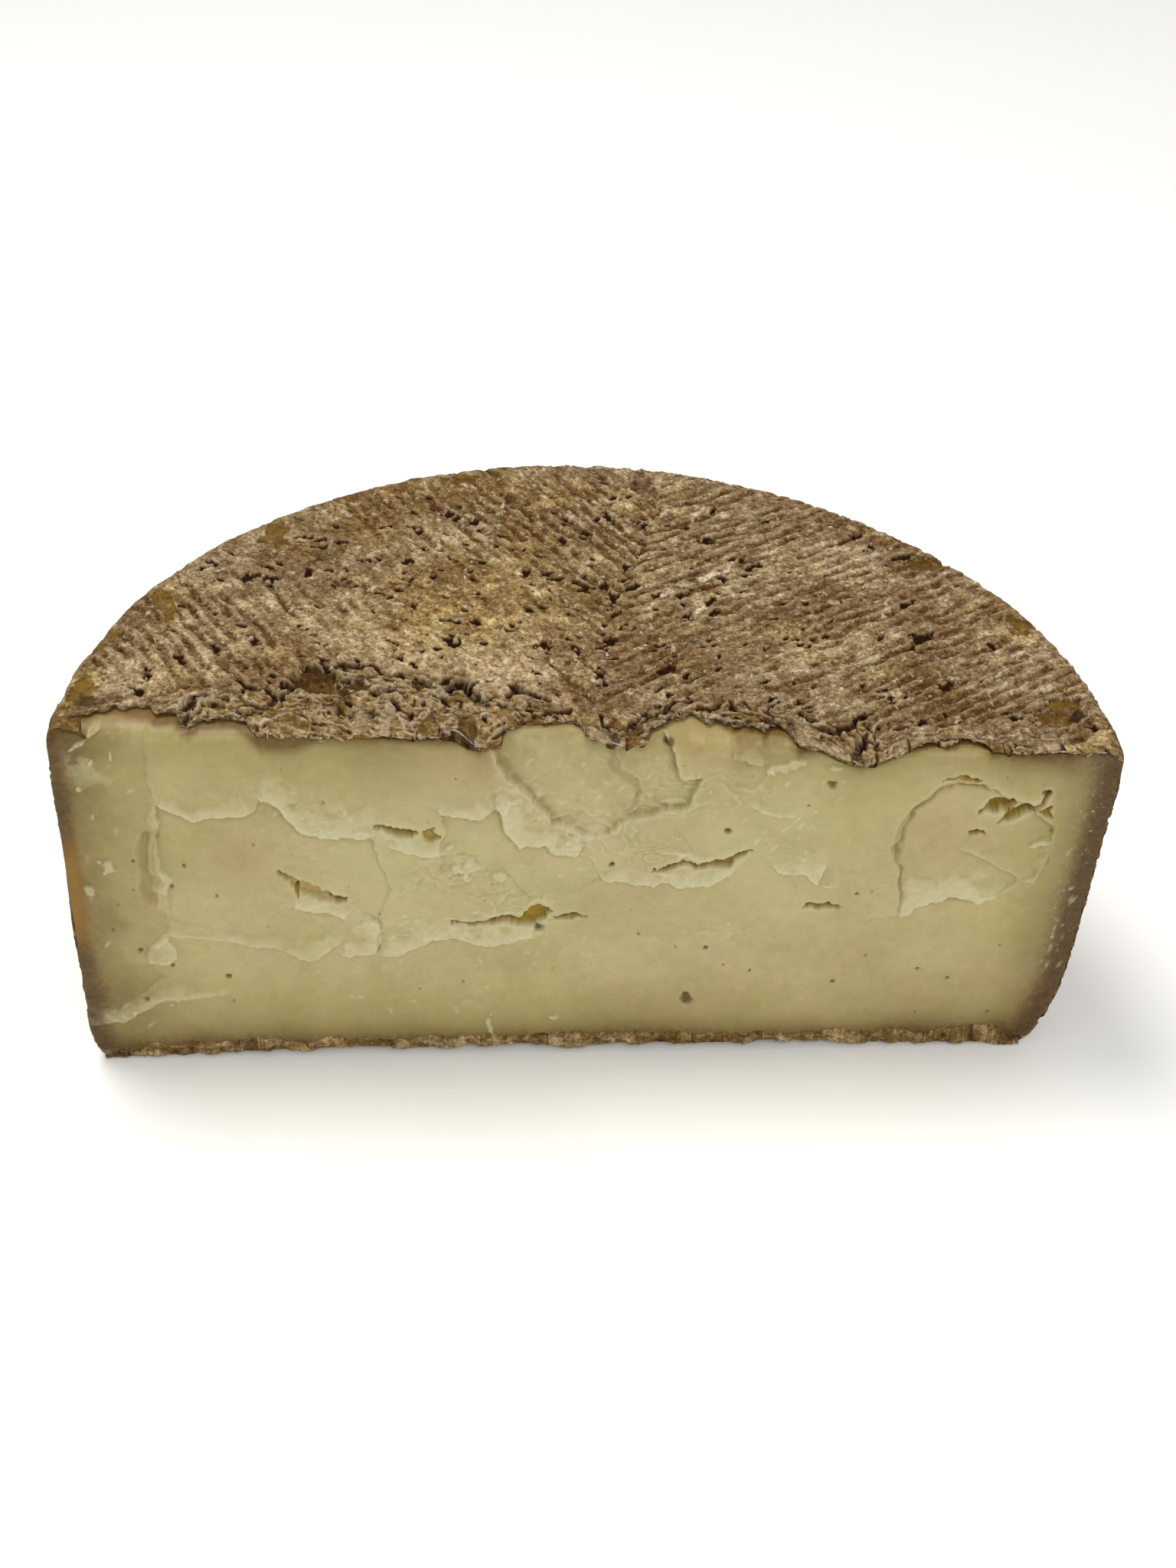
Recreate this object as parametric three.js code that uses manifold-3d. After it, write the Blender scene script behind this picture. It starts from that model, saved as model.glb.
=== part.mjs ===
// Half of an aged cheese wheel, cut through its middle. Millimetres, +Z up.
// Shapes are worked out in the wheel's own frame: its axis is x = y = 0, the cut face is the
// plane y = 0 and looks along -Y, and the base rests on z = 0.
import * as THREE from "three";
import { mergeVertices } from "three/addons/utils/BufferGeometryUtils.js";
import Module from "manifold-3d";

const wasm = await Module();
wasm.setup();

// ---- driving sizes ----
const HEIGHT = 99.3; // at the wheel's axis
const TOP_FALL = 0.0428; // how far the top drops for each mm towards +X
const BASE_RADIUS = 119.4;
const WALL_FLARE = 0.016; // growth of the radius for each mm of height
const LEAN_AT_BASE = -5.5; // x of the wall's centre on the base
const LEAN = 0.052; // its drift towards +X for each mm of height
const SHOULDER = { height: 6, inset: 2.2 };
const CORNER_LEFT = { height: 12, inset: 5.5 }; // the rounded bottom edge, at -X
const CORNER_RIGHT = { height: 30, inset: 9.5 }; // and at +X
const WHEEL_AXIS = { x: 2.1, y: -59.7 }; // where the wheel's axis stands in the part's frame

const BLOCK_WIDTH = 270; // trimming blocks reach past the wheel on every side
const BLOCK_DEPTH = 140;
const BLOCK_HEIGHT = 130;
const FACE_CELL = 7;
const TOP_CELL = 28;
const SEED = 7;

// ---- chance and unevenness ----
function seeded(seed) {
  let state = seed;
  return () => {
    state = (state + 0x6d2b79f5) | 0;
    let t = Math.imul(state ^ (state >>> 15), 1 | state);
    t = (t + Math.imul(t ^ (t >>> 7), 61 | t)) ^ t;
    return ((t ^ (t >>> 14)) >>> 0) / 4294967296;
  };
}

function lattice(i, j, seed) {
  const wave = Math.sin(i * 127.1 + j * 311.7 + seed * 74.7) * 43758.5453;
  return 2 * (wave - Math.floor(wave)) - 1;
}

// Smooth unevenness between -1 and 1 that changes over a length of about one unit.
function unevenness(u, v, seed) {
  const i = Math.floor(u);
  const j = Math.floor(v);
  const s = THREE.MathUtils.smoothstep(u - i, 0, 1);
  const t = THREE.MathUtils.smoothstep(v - j, 0, 1);
  const near = THREE.MathUtils.lerp(lattice(i, j, seed), lattice(i + 1, j, seed), s);
  const far = THREE.MathUtils.lerp(lattice(i, j + 1, seed), lattice(i + 1, j + 1, seed), s);
  return THREE.MathUtils.lerp(near, far, t);
}

// The height of a line through [x, z] points, sorted by x.
function heightOnLine(points, x) {
  const next = points.findIndex((point) => point[0] > x);
  if (next === 0) return points[0][1];
  if (next === -1) return points.at(-1)[1];
  const [x0, z0] = points[next - 1];
  const [x1, z1] = points[next];
  return THREE.MathUtils.mapLinear(x, x0, x1, z0, z1);
}

// ---- from geometry to solid and back ----
function solidFrom(geometry) {
  const bare = geometry.index ? geometry.toNonIndexed() : geometry.clone();
  bare.deleteAttribute("normal");
  bare.deleteAttribute("uv");
  const merged = mergeVertices(bare, 1e-3);
  const index = merged.index.array;
  const kept = [];
  for (let i = 0; i < index.length; i += 3) {
    const [a, b, c] = index.slice(i, i + 3);
    if (a !== b && b !== c && c !== a) kept.push(a, b, c);
  }
  return new wasm.Manifold(
    new wasm.Mesh({
      numProp: 3,
      vertProperties: merged.attributes.position.array,
      triVerts: new Uint32Array(kept),
    }),
  );
}

function geometryFrom(solid) {
  const mesh = solid.getMesh();
  const geometry = new THREE.BufferGeometry();
  geometry.setAttribute("position", new THREE.BufferAttribute(mesh.vertProperties, 3));
  geometry.setIndex(new THREE.BufferAttribute(mesh.triVerts, 1));
  return geometry;
}

function moveVertices(geometry, move) {
  const position = geometry.attributes.position;
  const point = new THREE.Vector3();
  for (let i = 0; i < position.count; i++) {
    move(point.fromBufferAttribute(position, i), i);
    position.setXYZ(i, point.x, point.y, point.z);
  }
  return geometry;
}

// ---- the wheel: a turned body that leans, with a bottom edge that is rounder at +X ----
const CORNER_STEPS = 4;
const WALL_STEPS = 5;
const SHOULDER_STEPS = 2;
const WHEEL_SEGMENTS = 88;
const LID = HEIGHT + 15; // the turned body ends above the top, where a block trims it

function topAt(x) {
  return HEIGHT - TOP_FALL * x;
}

function wallCentre(z) {
  return LEAN_AT_BASE + LEAN * z;
}

// Height and inset from the full radius of one level of the wall, in one direction.
function wallLevel(level, angle) {
  const right = (1 + Math.sin(angle)) / 2;
  const corner = THREE.MathUtils.lerp(CORNER_LEFT.height, CORNER_RIGHT.height, right);
  const cut = THREE.MathUtils.lerp(CORNER_LEFT.inset, CORNER_RIGHT.inset, right);
  const top = topAt(BASE_RADIUS * Math.sin(angle));
  if (level <= CORNER_STEPS) {
    const turn = (level / CORNER_STEPS) * (Math.PI / 2);
    return { z: corner * (1 - Math.cos(turn)), inset: cut * (1 - Math.sin(turn)) };
  }
  const above = level - CORNER_STEPS;
  if (above <= WALL_STEPS) {
    const z = THREE.MathUtils.lerp(corner, top - SHOULDER.height, above / WALL_STEPS);
    const bump = unevenness(5 * Math.sin(angle) + z / 22, 5 * Math.cos(angle), SEED);
    return { z, inset: 0.45 * bump };
  }
  const turn = ((above - WALL_STEPS) / SHOULDER_STEPS) * (Math.PI / 2);
  return {
    z: top - SHOULDER.height * (1 - Math.sin(turn)),
    inset: SHOULDER.inset * (1 - Math.cos(turn)),
  };
}

function wheelSolid() {
  const levels = CORNER_STEPS + WALL_STEPS + SHOULDER_STEPS;
  const profile = [new THREE.Vector2(0, 0)];
  for (let level = 0; level <= levels; level++) profile.push(new THREE.Vector2(BASE_RADIUS, level));
  profile.push(new THREE.Vector2(BASE_RADIUS / 2, levels + 1));
  profile.push(new THREE.Vector2(0, levels + 1));
  const turned = new THREE.LatheGeometry(profile, WHEEL_SEGMENTS);
  moveVertices(turned, (point) => {
    const angle = Math.atan2(point.x, -point.z);
    const across = Math.hypot(point.x, point.z) / BASE_RADIUS;
    const { z, inset } = wallLevel(Math.min(Math.round(point.y), levels), angle);
    const height = point.y > levels + 0.5 ? LID : z;
    const radius = across * (BASE_RADIUS + WALL_FLARE * z - inset);
    point.set(wallCentre(height) + radius * Math.sin(angle), radius * Math.cos(angle), height);
  });
  return solidFrom(turned);
}

// ---- the two trimming blocks: the cut face and the swelling top ----
const SWELL = 1.1;
const SWELL_SPAN = 78;

function topSurface(x, y) {
  return topAt(x) + SWELL * unevenness(x / SWELL_SPAN + 3, y / SWELL_SPAN, SEED + 1);
}

function topBlock() {
  const columns = Math.round(BLOCK_WIDTH / TOP_CELL);
  const rows = Math.round(BLOCK_DEPTH / TOP_CELL);
  const block = new THREE.BoxGeometry(BLOCK_WIDTH, BLOCK_DEPTH, BLOCK_HEIGHT, columns, rows, 1);
  block.translate(0, BLOCK_DEPTH / 2 - 8, 0);
  return solidFrom(
    moveVertices(block, (point) => {
      if (point.z > 0) point.z = topSurface(point.x, point.y);
      else point.z = -5;
    }),
  );
}

function faceRelief(x, z) {
  return 0.5 * unevenness(x / 34, z / 26, SEED + 2) + 0.25 * unevenness(x / 13, z / 11, SEED + 3);
}

function faceBlock() {
  const columns = Math.round(BLOCK_WIDTH / FACE_CELL);
  const rows = Math.round(BLOCK_HEIGHT / FACE_CELL);
  const block = new THREE.BoxGeometry(BLOCK_WIDTH, BLOCK_DEPTH, BLOCK_HEIGHT, columns, 1, rows);
  block.translate(0, BLOCK_DEPTH / 2, BLOCK_HEIGHT / 2 - 8);
  return solidFrom(
    moveVertices(block, (point) => {
      if (point.y < 1) point.y = faceRelief(point.x, point.z);
    }),
  );
}

// ---- the crust along the cut: ragged lips that hang over the face, and strips torn bare ----
// Lower edge of the lips, [x, z]: they droop over the face in tongues.
const CRUST_EDGE = [
  [-75, 101], [-50, 99.6], [-31, 100.2], [-24, 96], [-20, 98.8], [-8, 98.9], [5, 97.6],
  [14, 96.2], [45, 96.6], [54, 94.8], [60, 90.4], [66, 93.4], [85, 95], [95, 93.4], [122, 92.6],
];
const LIP_OUT = 1.4;
const LIP_BACK = 3;
const LIP_STEP = 3.6;
const LIP_RUNS = [[-75, 13.5], [45, 116]];
const CRUST_THICK = 1.7;
// Front edge of the crust where it is torn back from the cut, [x, y].
const BARE_STRIPS = [
  [[-117, 0.5], [-112, 3], [-103, 5.2], [-97, 4.4], [-90, 3.2], [-83, 4.2], [-77, 1.8], [-74, 0]],
  [[13.5, 0], [17, 4.8], [22, 7.6], [27, 6.6], [32, 4], [38, 4.4], [43, 2.6], [45.5, 0]],
];

function crustLip([start, end], run) {
  const chance = seeded(SEED + 4 + run);
  const outline = new THREE.Shape();
  outline.moveTo(start, topAt(start) - 0.6);
  for (let x = start + 1; x < end; x += LIP_STEP) {
    const low = Math.min(heightOnLine(CRUST_EDGE, x), topAt(x) - 1.5);
    outline.lineTo(x, low + 1.8 * (chance() - 0.5));
  }
  outline.lineTo(end, topAt(end) - 0.6);
  const depth = LIP_OUT + LIP_BACK;
  const lip = new THREE.ExtrudeGeometry(outline, { depth, bevelEnabled: false });
  lip.rotateX(Math.PI / 2);
  lip.translate(0, LIP_BACK, 0);
  return solidFrom(lip);
}

function bareStrip(edge) {
  const front = -3;
  const outline = edge.map(([x, y]) => new THREE.Vector2(x, y));
  outline.unshift(new THREE.Vector2(edge[0][0], front));
  outline.push(new THREE.Vector2(edge.at(-1)[0], front));
  const depth = 2 * CRUST_THICK;
  const strip = new THREE.ExtrudeGeometry(new THREE.Shape(outline), { depth, bevelEnabled: false });
  return solidFrom(
    moveVertices(strip, (point) => {
      point.z += topAt(point.x) - CRUST_THICK;
    }),
  );
}

// ---- what is broken out of the cut face ----
// Each is an outline of [x, z] points, with its depth at the top and at the bottom edge.
const FACE_BREAKS = [
  {
    // the scoop under the crust, right of the middle
    outline: [
      [-23, 97.5], [-21, 91], [-16, 84], [-12, 78.5], [-7, 73.5], [0, 70.5], [7, 75], [12, 77],
      [18, 77.5], [22, 80], [24, 86.5], [20, 87], [19, 92], [14, 97],
    ],
    top: 3.4,
    bottom: 2.2,
  },
  {
    // the flake lifted out at the right
    outline: [
      [72, 44], [78, 48.5], [88, 49.5], [97, 51], [101, 55.5], [106, 60], [107, 70], [98, 79],
      [90, 83], [82, 83.3], [76, 80], [72, 73], [70, 64], [72, 55],
    ],
    top: 2.1,
    bottom: 0.5,
  },
  {
    // below the ledge that crosses the left half
    outline: [
      [-100, 46], [-75, 38], [-52, 41], [-48, 55], [-50.5, 70], [-57, 71.5], [-63, 72], [-69, 76],
      [-75, 83.5], [-83, 78.5], [-91, 76.5], [-99.5, 81],
    ],
    top: 1.4,
    bottom: 0.3,
  },
  {
    // the strip beside the left wall
    outline: [
      [-130, 12], [-112, 20], [-108, 31], [-101, 42], [-100.5, 55], [-103, 70], [-101, 80],
      [-99.5, 90], [-100, 103], [-130, 106],
    ],
    top: 1.7,
    bottom: 0.7,
  },
  {
    // below the ledge left of the scoop
    outline: [
      [-36, 60], [-30, 52], [-10, 51], [2, 56], [0, 65], [-8, 66.5], [-17, 67.5], [-20, 72],
      [-23, 79], [-31, 76.5],
    ],
    top: 1.3,
    bottom: 0.4,
  },
];

function faceBreak({ outline, top, bottom }) {
  const shape = new THREE.Shape(outline.map(([x, z]) => new THREE.Vector2(x, z)));
  const heights = outline.map(([, z]) => z);
  const low = Math.min(...heights);
  const high = Math.max(...heights);
  const front = -4;
  const prism = new THREE.ExtrudeGeometry(shape, { depth: 1, bevelEnabled: false });
  return solidFrom(
    moveVertices(prism, (point) => {
      const [x, z] = [point.x, point.y];
      const depth = THREE.MathUtils.mapLinear(z, low, high, bottom, top);
      point.set(x, point.z > 0.5 ? front : depth + faceRelief(x, z), z);
    }),
  );
}

// Lips of paste torn outwards: the lower edge as [x, z] points, how far the tear runs up the
// face, and how far the edge stands out.
const FACE_LIPS = [
  {
    edge: [
      [-99.5, 81], [-91, 76.5], [-83, 78.5], [-75, 83.5], [-69, 76], [-63, 72], [-57, 71.5],
      [-50.5, 70],
    ],
    rise: 6,
    out: 1.1,
  },
  { edge: [[-23, 79], [-20, 72], [-17, 67.5], [-8, 66.5], [0, 65]], rise: 6, out: 1.2 },
  { edge: [[-50, 68], [-43, 66.5], [-35, 64]], rise: 3, out: 0.9 },
  { edge: [[-73, 50], [-60, 46.5], [-55, 44], [-51, 39]], rise: 5, out: 1 },
  { edge: [[-48, 33], [-42, 36], [-34, 39.5], [-26, 36.5], [-14, 38.5]], rise: 4, out: 0.9 },
  { edge: [[-104, 40.5], [-88, 39], [-80, 37], [-72, 33]], rise: 3, out: 0.8 },
  { edge: [[-35, 77.5], [-31, 76.3], [-24, 78.5]], rise: 3.5, out: 0.8 },
  { edge: [[5, 57.5], [14, 55.5], [26, 56], [33, 58.5]], rise: 3.5, out: 1 },
  { edge: [[38, 58.5], [46, 57], [53, 55.5]], rise: 5, out: 0.7 },
  { edge: [[73, 45], [78, 49], [88, 50], [97, 51.5]], rise: 5, out: 0.6 },
  { edge: [[-120, 13], [-112, 17], [-104, 24]], rise: 3, out: 0.8 },
];

function faceLip({ edge, rise, out }) {
  const raised = edge.map(([x, z]) => [x, z + rise]).reverse();
  const shape = new THREE.Shape([...edge, ...raised].map(([x, z]) => new THREE.Vector2(x, z)));
  const prism = new THREE.ExtrudeGeometry(shape, { depth: 1, bevelEnabled: false });
  const root = 3;
  return solidFrom(
    moveVertices(prism, (point) => {
      const [x, z] = [point.x, point.y];
      const onEdge = z < heightOnLine(edge, x) + rise / 2;
      const front = (onEdge ? -out : 0.4) + faceRelief(x, z);
      point.set(x, point.z > 0.5 ? front : root, z);
    }),
  );
}

// A pointed lens that tapers to nothing at both ends, the tool for slots and pits.
// It is drawn along X, `wide` across Y and `deep` down Z before it is turned.
function lens(long, wide, deep) {
  return new THREE.OctahedronGeometry(1).scale(long / 2, wide / 2, deep);
}

// A V-shaped trough with sloping ends, drawn along X with the surface it cuts at z = 0.
function trough(long, wide, deep) {
  return moveVertices(new THREE.BoxGeometry(long, 2 * wide, 2 * deep), (point) => {
    if (point.z > 0) return;
    point.y = 0;
    point.x *= 0.7;
  });
}

// Slots that opened in the paste, as [x, z, length, gape, slope in degrees].
const SLOTS = [
  [-45.5, 73, 11, 3.6, -22], [-66.5, 56, 18, 4.2, -33], [-27, 44, 22, 2.2, 3],
  [-14, 46.3, 8, 5.5, 12], [-6, 45.3, 9, 1.6, 0], [24, 61.5, 24, 3, 12], [94, 77, 9, 2.8, 30],
  [99, 75, 10, 3.4, 32], [105, 75.4, 3, 3, 60], [53, 48.6, 9, 1.6, 12], [22.8, 17.6, 6, 3, 100],
];
const SLOT_DEPTH = 5;

function slot([x, z, long, gape, slope]) {
  const tool = lens(long, gape, SLOT_DEPTH);
  tool.rotateX(Math.PI / 2);
  tool.rotateY(THREE.MathUtils.degToRad(-slope));
  return solidFrom(tool.translate(x, 0.5, z));
}

// ---- the top: four fans of grooves from the draining board ----
const MARK_CENTRE = { x: 3, y: 5 };
const MARK_TURN = THREE.MathUtils.degToRad(-8);
const GROOVE_PITCH = 3.4;
const GROOVE = { shortest: 12, longest: 52, gap: 3.5, wide: 1.7, deep: 0.9 };
const TORN_BAND = 14; // the board's grooves stop behind the torn crust
const WORN = { x: -26, y: 37, reachX: 27, reachY: 17 };
const FANS = [[1, 1], [-1, 1], [-1, -1]];

function isWorn(x, y) {
  const inPatch = Math.hypot((x - WORN.x) / WORN.reachX, (y - WORN.y) / WORN.reachY) < 1;
  return inPatch || unevenness(x / 21, y / 21, SEED + 5) < -0.7;
}

function isOnTop(x, y) {
  return Math.hypot(x, y) < BASE_RADIUS - 4 && y > TORN_BAND;
}

function grooves() {
  const chance = seeded(SEED + 6);
  const tools = [];
  for (const [sideP, sideQ] of FANS) {
    const heading = MARK_TURN + Math.atan2(sideQ, sideP);
    for (let offset = -108; offset <= 108; offset += GROOVE_PITCH) {
      const rim = Math.sqrt(Math.max(0, (BASE_RADIUS - 6) ** 2 - offset ** 2));
      let along = Math.abs(offset) + 6 * chance();
      while (along + GROOVE.shortest < rim) {
        const drawn = THREE.MathUtils.lerp(GROOVE.shortest, GROOVE.longest, chance() ** 1.6);
        const long = Math.min(drawn, rim - along);
        const middle = along + long / 2;
        const across = offset + 0.8 * (chance() - 0.5);
        const side = sideP * sideQ;
        const x = MARK_CENTRE.x + middle * Math.cos(heading) + side * across * Math.sin(heading);
        const y = MARK_CENTRE.y + middle * Math.sin(heading) - side * across * Math.cos(heading);
        const wide = GROOVE.wide * (0.8 + 0.5 * chance());
        const deep = GROOVE.deep * (0.7 + 0.6 * chance());
        along += long + GROOVE.gap * (0.5 + chance());
        const reach = 0.4 * long;
        const tail = isOnTop(x - reach * Math.cos(heading), y - reach * Math.sin(heading));
        const head = isOnTop(x + reach * Math.cos(heading), y + reach * Math.sin(heading));
        if (!tail || !head || isWorn(x, y)) continue;
        const tool = trough(long, wide, deep).rotateZ(heading);
        tools.push(solidFrom(tool.translate(x, y, topSurface(x, y))));
      }
    }
  }
  return tools;
}

// ---- the top: eaten pits, torn cracks and holes near the cut ----
const PITS = 30;
const PIT_SPREAD = 52; // they crowd round the middle of the board's mark
// Holes through the torn crust, as [x, y, length, width, depth, turn in degrees].
const HOLES = [
  [-63, 21, 11, 10, 6, 40], [-31, 18, 6, 9, 5, 70], [105, 12, 11, 16, 4.5, -30],
  [86, 75, 13, 6, 4, 15], [-101, 50, 5, 14, 2.5, 15], [-78, 81, 7, 11, 2.8, 30],
];
// Dips where the crust sank at the cut, as [x, width, reach back, depth].
const DIPS = [[-24, 13, 9, 3.2], [8, 30, 8, 2], [60, 26, 15, 5.4]];
// Cracks behind the lip of the crust, as runs of [x, y] points.
const CRACKS = [
  [[-73, 11], [-68, 17], [-57, 26], [-48, 24], [-37, 21]],
  [[-21, 18], [-14, 15], [-8, 12], [0, 7]],
  [[5, 6], [13, 8], [21, 14], [30, 14], [38, 12], [46, 12], [52, 8], [62, 12]],
];
const CRACK = { wide: 2.4, deep: 2.6, overlap: 1 };

function pits() {
  const chance = seeded(SEED + 8);
  const tools = [];
  while (tools.length < PITS) {
    const turn = Math.PI * chance();
    const out = PIT_SPREAD * (chance() + chance());
    const x = MARK_CENTRE.x + out * Math.cos(turn);
    const y = MARK_CENTRE.y + 14 + out * Math.sin(turn);
    const tool = lens(2.5 + 2.5 * chance(), 2 + 1.4 * chance(), 1.6).rotateZ(Math.PI * chance());
    if (isOnTop(x, y)) tools.push(solidFrom(tool.translate(x, y, topSurface(x, y))));
  }
  return tools;
}

// A lumpy ball of radius 1, for hollows that look torn and not drilled.
function lump(seed) {
  const ball = new THREE.IcosahedronGeometry(1, 2);
  return moveVertices(ball, (point) => {
    point.multiplyScalar(1 + 0.22 * unevenness(2.6 * point.x + point.z, 2.6 * point.y, seed));
  });
}

function hole([x, y, long, wide, deep, turn], i) {
  const tool = lump(SEED + 10 + i).scale(long / 2, wide / 2, deep);
  tool.rotateZ(THREE.MathUtils.degToRad(turn));
  return solidFrom(tool.translate(x, y, topSurface(x, y)));
}

function dip([x, wide, reach, deep], i) {
  const tool = lump(SEED + 20 + i).scale(wide / 2, reach, deep);
  return solidFrom(tool.translate(x, -1, topSurface(x, 0)));
}

function crack(points) {
  return points.slice(1).map(([x1, y1], i) => {
    const [x0, y0] = points[i];
    const long = Math.hypot(x1 - x0, y1 - y0) + 2 * CRACK.overlap;
    const tool = trough(long, CRACK.wide, CRACK.deep).rotateZ(Math.atan2(y1 - y0, x1 - x0));
    const x = (x0 + x1) / 2;
    const y = (y0 + y1) / 2;
    return solidFrom(tool.translate(x, y, topSurface(x, y)));
  });
}

// ---- the rim and the base ----
// Where the side of the mould left bare notches round the rim, in degrees from +X.
const RIM_NOTCHES = [6.5, 25, 40, 49, 79, 96, 107, 122, 134, 147, 163, 172];
const NOTCH = { wide: 6, tall: 13, deep: 2.1 };

function rimNotches() {
  return RIM_NOTCHES.map((degrees) => {
    const angle = THREE.MathUtils.degToRad(degrees);
    const radius = BASE_RADIUS + WALL_FLARE * HEIGHT;
    const [x, y] = [radius * Math.cos(angle), radius * Math.sin(angle)];
    const tool = new THREE.OctahedronGeometry(1, 1);
    tool.scale(NOTCH.deep, NOTCH.wide / 2, NOTCH.tall / 2).rotateZ(angle);
    return solidFrom(tool.translate(x, y, topAt(x) - 2));
  });
}

const CRUMB_PITCH = 6.2; // the base's own board marks end in crumbs along the cut
const CRUMB_NOTCH = { wide: 3.4, tall: 1.7, reach: 7 };

function baseNotches() {
  const chance = seeded(SEED + 9);
  const tools = [];
  for (let x = -112; x < 100; x += CRUMB_PITCH * (0.8 + 0.4 * chance())) {
    const tall = CRUMB_NOTCH.tall * (0.7 + 0.6 * chance());
    const tool = lens(2 * CRUMB_NOTCH.reach, CRUMB_NOTCH.wide * (0.8 + 0.4 * chance()), tall);
    tools.push(solidFrom(tool.rotateZ(Math.PI / 2).translate(x, 0, 0)));
  }
  return tools;
}

// ---- all of it together ----
const MERGE_WITHIN = 0.02; // the booleans leave edges shorter than this

function cheeseSolid() {
  const broken = wasm.Manifold.union(FACE_BREAKS.map(faceBreak));
  const face = wheelSolid().intersect(faceBlock()).subtract(broken);
  const lips = [...FACE_LIPS.map(faceLip), ...LIP_RUNS.map(crustLip)];
  const lipped = wasm.Manifold.union([face, ...lips]).intersect(topBlock());
  const removed = [
    ...BARE_STRIPS.map(bareStrip),
    ...SLOTS.map(slot),
    ...grooves(),
    ...pits(),
    ...HOLES.map(hole),
    ...DIPS.map(dip),
    ...CRACKS.flatMap(crack),
    ...rimNotches(),
    ...baseNotches(),
  ];
  return lipped.subtract(wasm.Manifold.union(removed)).simplify(MERGE_WITHIN);
}

const cheese = new THREE.Mesh(
  geometryFrom(cheeseSolid()),
  new THREE.MeshStandardMaterial({ color: 0xb5a878, roughness: 0.62, metalness: 0 }),
);
cheese.name = "cheese_half_wheel";
cheese.position.set(WHEEL_AXIS.x, WHEEL_AXIS.y, 0);

const part = new THREE.Group();
part.name = "cheese_half_wheel_part";
part.add(cheese);

export default part;
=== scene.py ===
# %% [markdown]
# # Half of an aged cheese wheel
#
# The real thing is a pressed wheel with a rough brown rind that was cut in two with a knife and
# partly broke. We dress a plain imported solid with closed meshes: the pale paste with its flaky
# cut face, the grooved crust on top, the round wall and the base. Paste and crust come in parts,
# so that each mesh stays light enough. All sizes are millimetres in the wheel's own frame, where
# the wheel's axis is x = y = 0 and the cut is the plane y = 0. They become metres only when a
# mesh is made.

import math

import bmesh
import bpy
import numpy as np
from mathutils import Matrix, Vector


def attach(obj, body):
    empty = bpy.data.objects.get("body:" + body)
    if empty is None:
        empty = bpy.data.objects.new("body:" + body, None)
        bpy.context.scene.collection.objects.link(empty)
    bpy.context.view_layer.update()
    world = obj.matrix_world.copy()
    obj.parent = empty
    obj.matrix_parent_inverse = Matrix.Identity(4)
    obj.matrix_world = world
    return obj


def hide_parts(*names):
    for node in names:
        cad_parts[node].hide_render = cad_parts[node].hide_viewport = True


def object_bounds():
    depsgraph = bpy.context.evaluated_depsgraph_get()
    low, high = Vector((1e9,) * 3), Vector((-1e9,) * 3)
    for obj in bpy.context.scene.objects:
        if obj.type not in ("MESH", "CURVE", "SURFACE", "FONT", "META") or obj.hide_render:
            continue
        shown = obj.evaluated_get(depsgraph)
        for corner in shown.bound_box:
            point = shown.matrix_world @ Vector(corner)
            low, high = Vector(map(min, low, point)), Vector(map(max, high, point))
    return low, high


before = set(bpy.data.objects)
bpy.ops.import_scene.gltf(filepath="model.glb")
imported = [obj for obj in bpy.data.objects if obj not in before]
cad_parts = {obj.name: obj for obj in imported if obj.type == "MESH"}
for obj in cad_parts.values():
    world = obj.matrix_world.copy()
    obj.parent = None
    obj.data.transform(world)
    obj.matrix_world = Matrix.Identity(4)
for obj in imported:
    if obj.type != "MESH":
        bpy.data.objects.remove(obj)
cad_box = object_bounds()
NODE = "cheese_half_wheel"
print("CAD box", cad_box)

# %% [markdown]
# ## The driving sizes
#
# The wheel is 24 cm across and about 10 cm high. Its top falls towards +X, its wall leans the
# same way, and its bottom edge is much rounder at +X than at -X, because it sat in a soft mould.

# %% Sizes of the wheel
HEIGHT = 99.3
TOP_FALL = 0.0428
BASE_RADIUS = 119.4
WALL_FLARE = 0.016
LEAN_AT_BASE = -5.5
LEAN = 0.052
SHOULDER_HEIGHT = 6.0
SHOULDER_INSET = 2.2
CORNER_LEFT = (12.0, 5.5)
CORNER_RIGHT = (30.0, 9.5)
WHEEL_AXIS = (2.1, -59.7)
CRUST_THICK = 1.7
MM = 0.001


def top_plane(x):
    return HEIGHT - TOP_FALL * x


def blend(a, b, share):
    return a + (b - a) * share


def ease(value, low, high):
    """0 at low, 1 at high, smooth between them; low may be the larger one."""
    t = np.clip((value - low) / (high - low), 0, 1)
    return t * t * (3 - 2 * t)


print("top at the left and right end:", top_plane(-120), top_plane(120))

# %% [markdown]
# ## Unevenness
#
# Nothing on a cheese is flat. One smooth random function, added up at several sizes, gives the
# slow swell of the top, the crumbly crust and the tears. It depends only on its seed, so every
# run makes the same cheese. The seeds in the calls are labels that tell one field from the next.
#
# Flakes need one more trick. A slowly varying level is cut into whole steps and the level itself
# is taken away again. What stays is a saw: it sinks gently and jumps back up along a wandering,
# lobed line, like shingles of bark that lie over one another.


# %% Random functions that are the same on every run
def lattice(i, j, seed):
    wave = np.sin(i * 127.1 + j * 311.7 + seed * 74.7) * 43758.5453
    return 2 * (wave - np.floor(wave)) - 1


def unevenness(u, v, seed):
    i = np.floor(u)
    j = np.floor(v)
    s = ease(u - i, 0, 1)
    t = ease(v - j, 0, 1)
    near = blend(lattice(i, j, seed), lattice(i + 1, j, seed), s)
    far = blend(lattice(i, j + 1, seed), lattice(i + 1, j + 1, seed), s)
    return blend(near, far, t)


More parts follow.
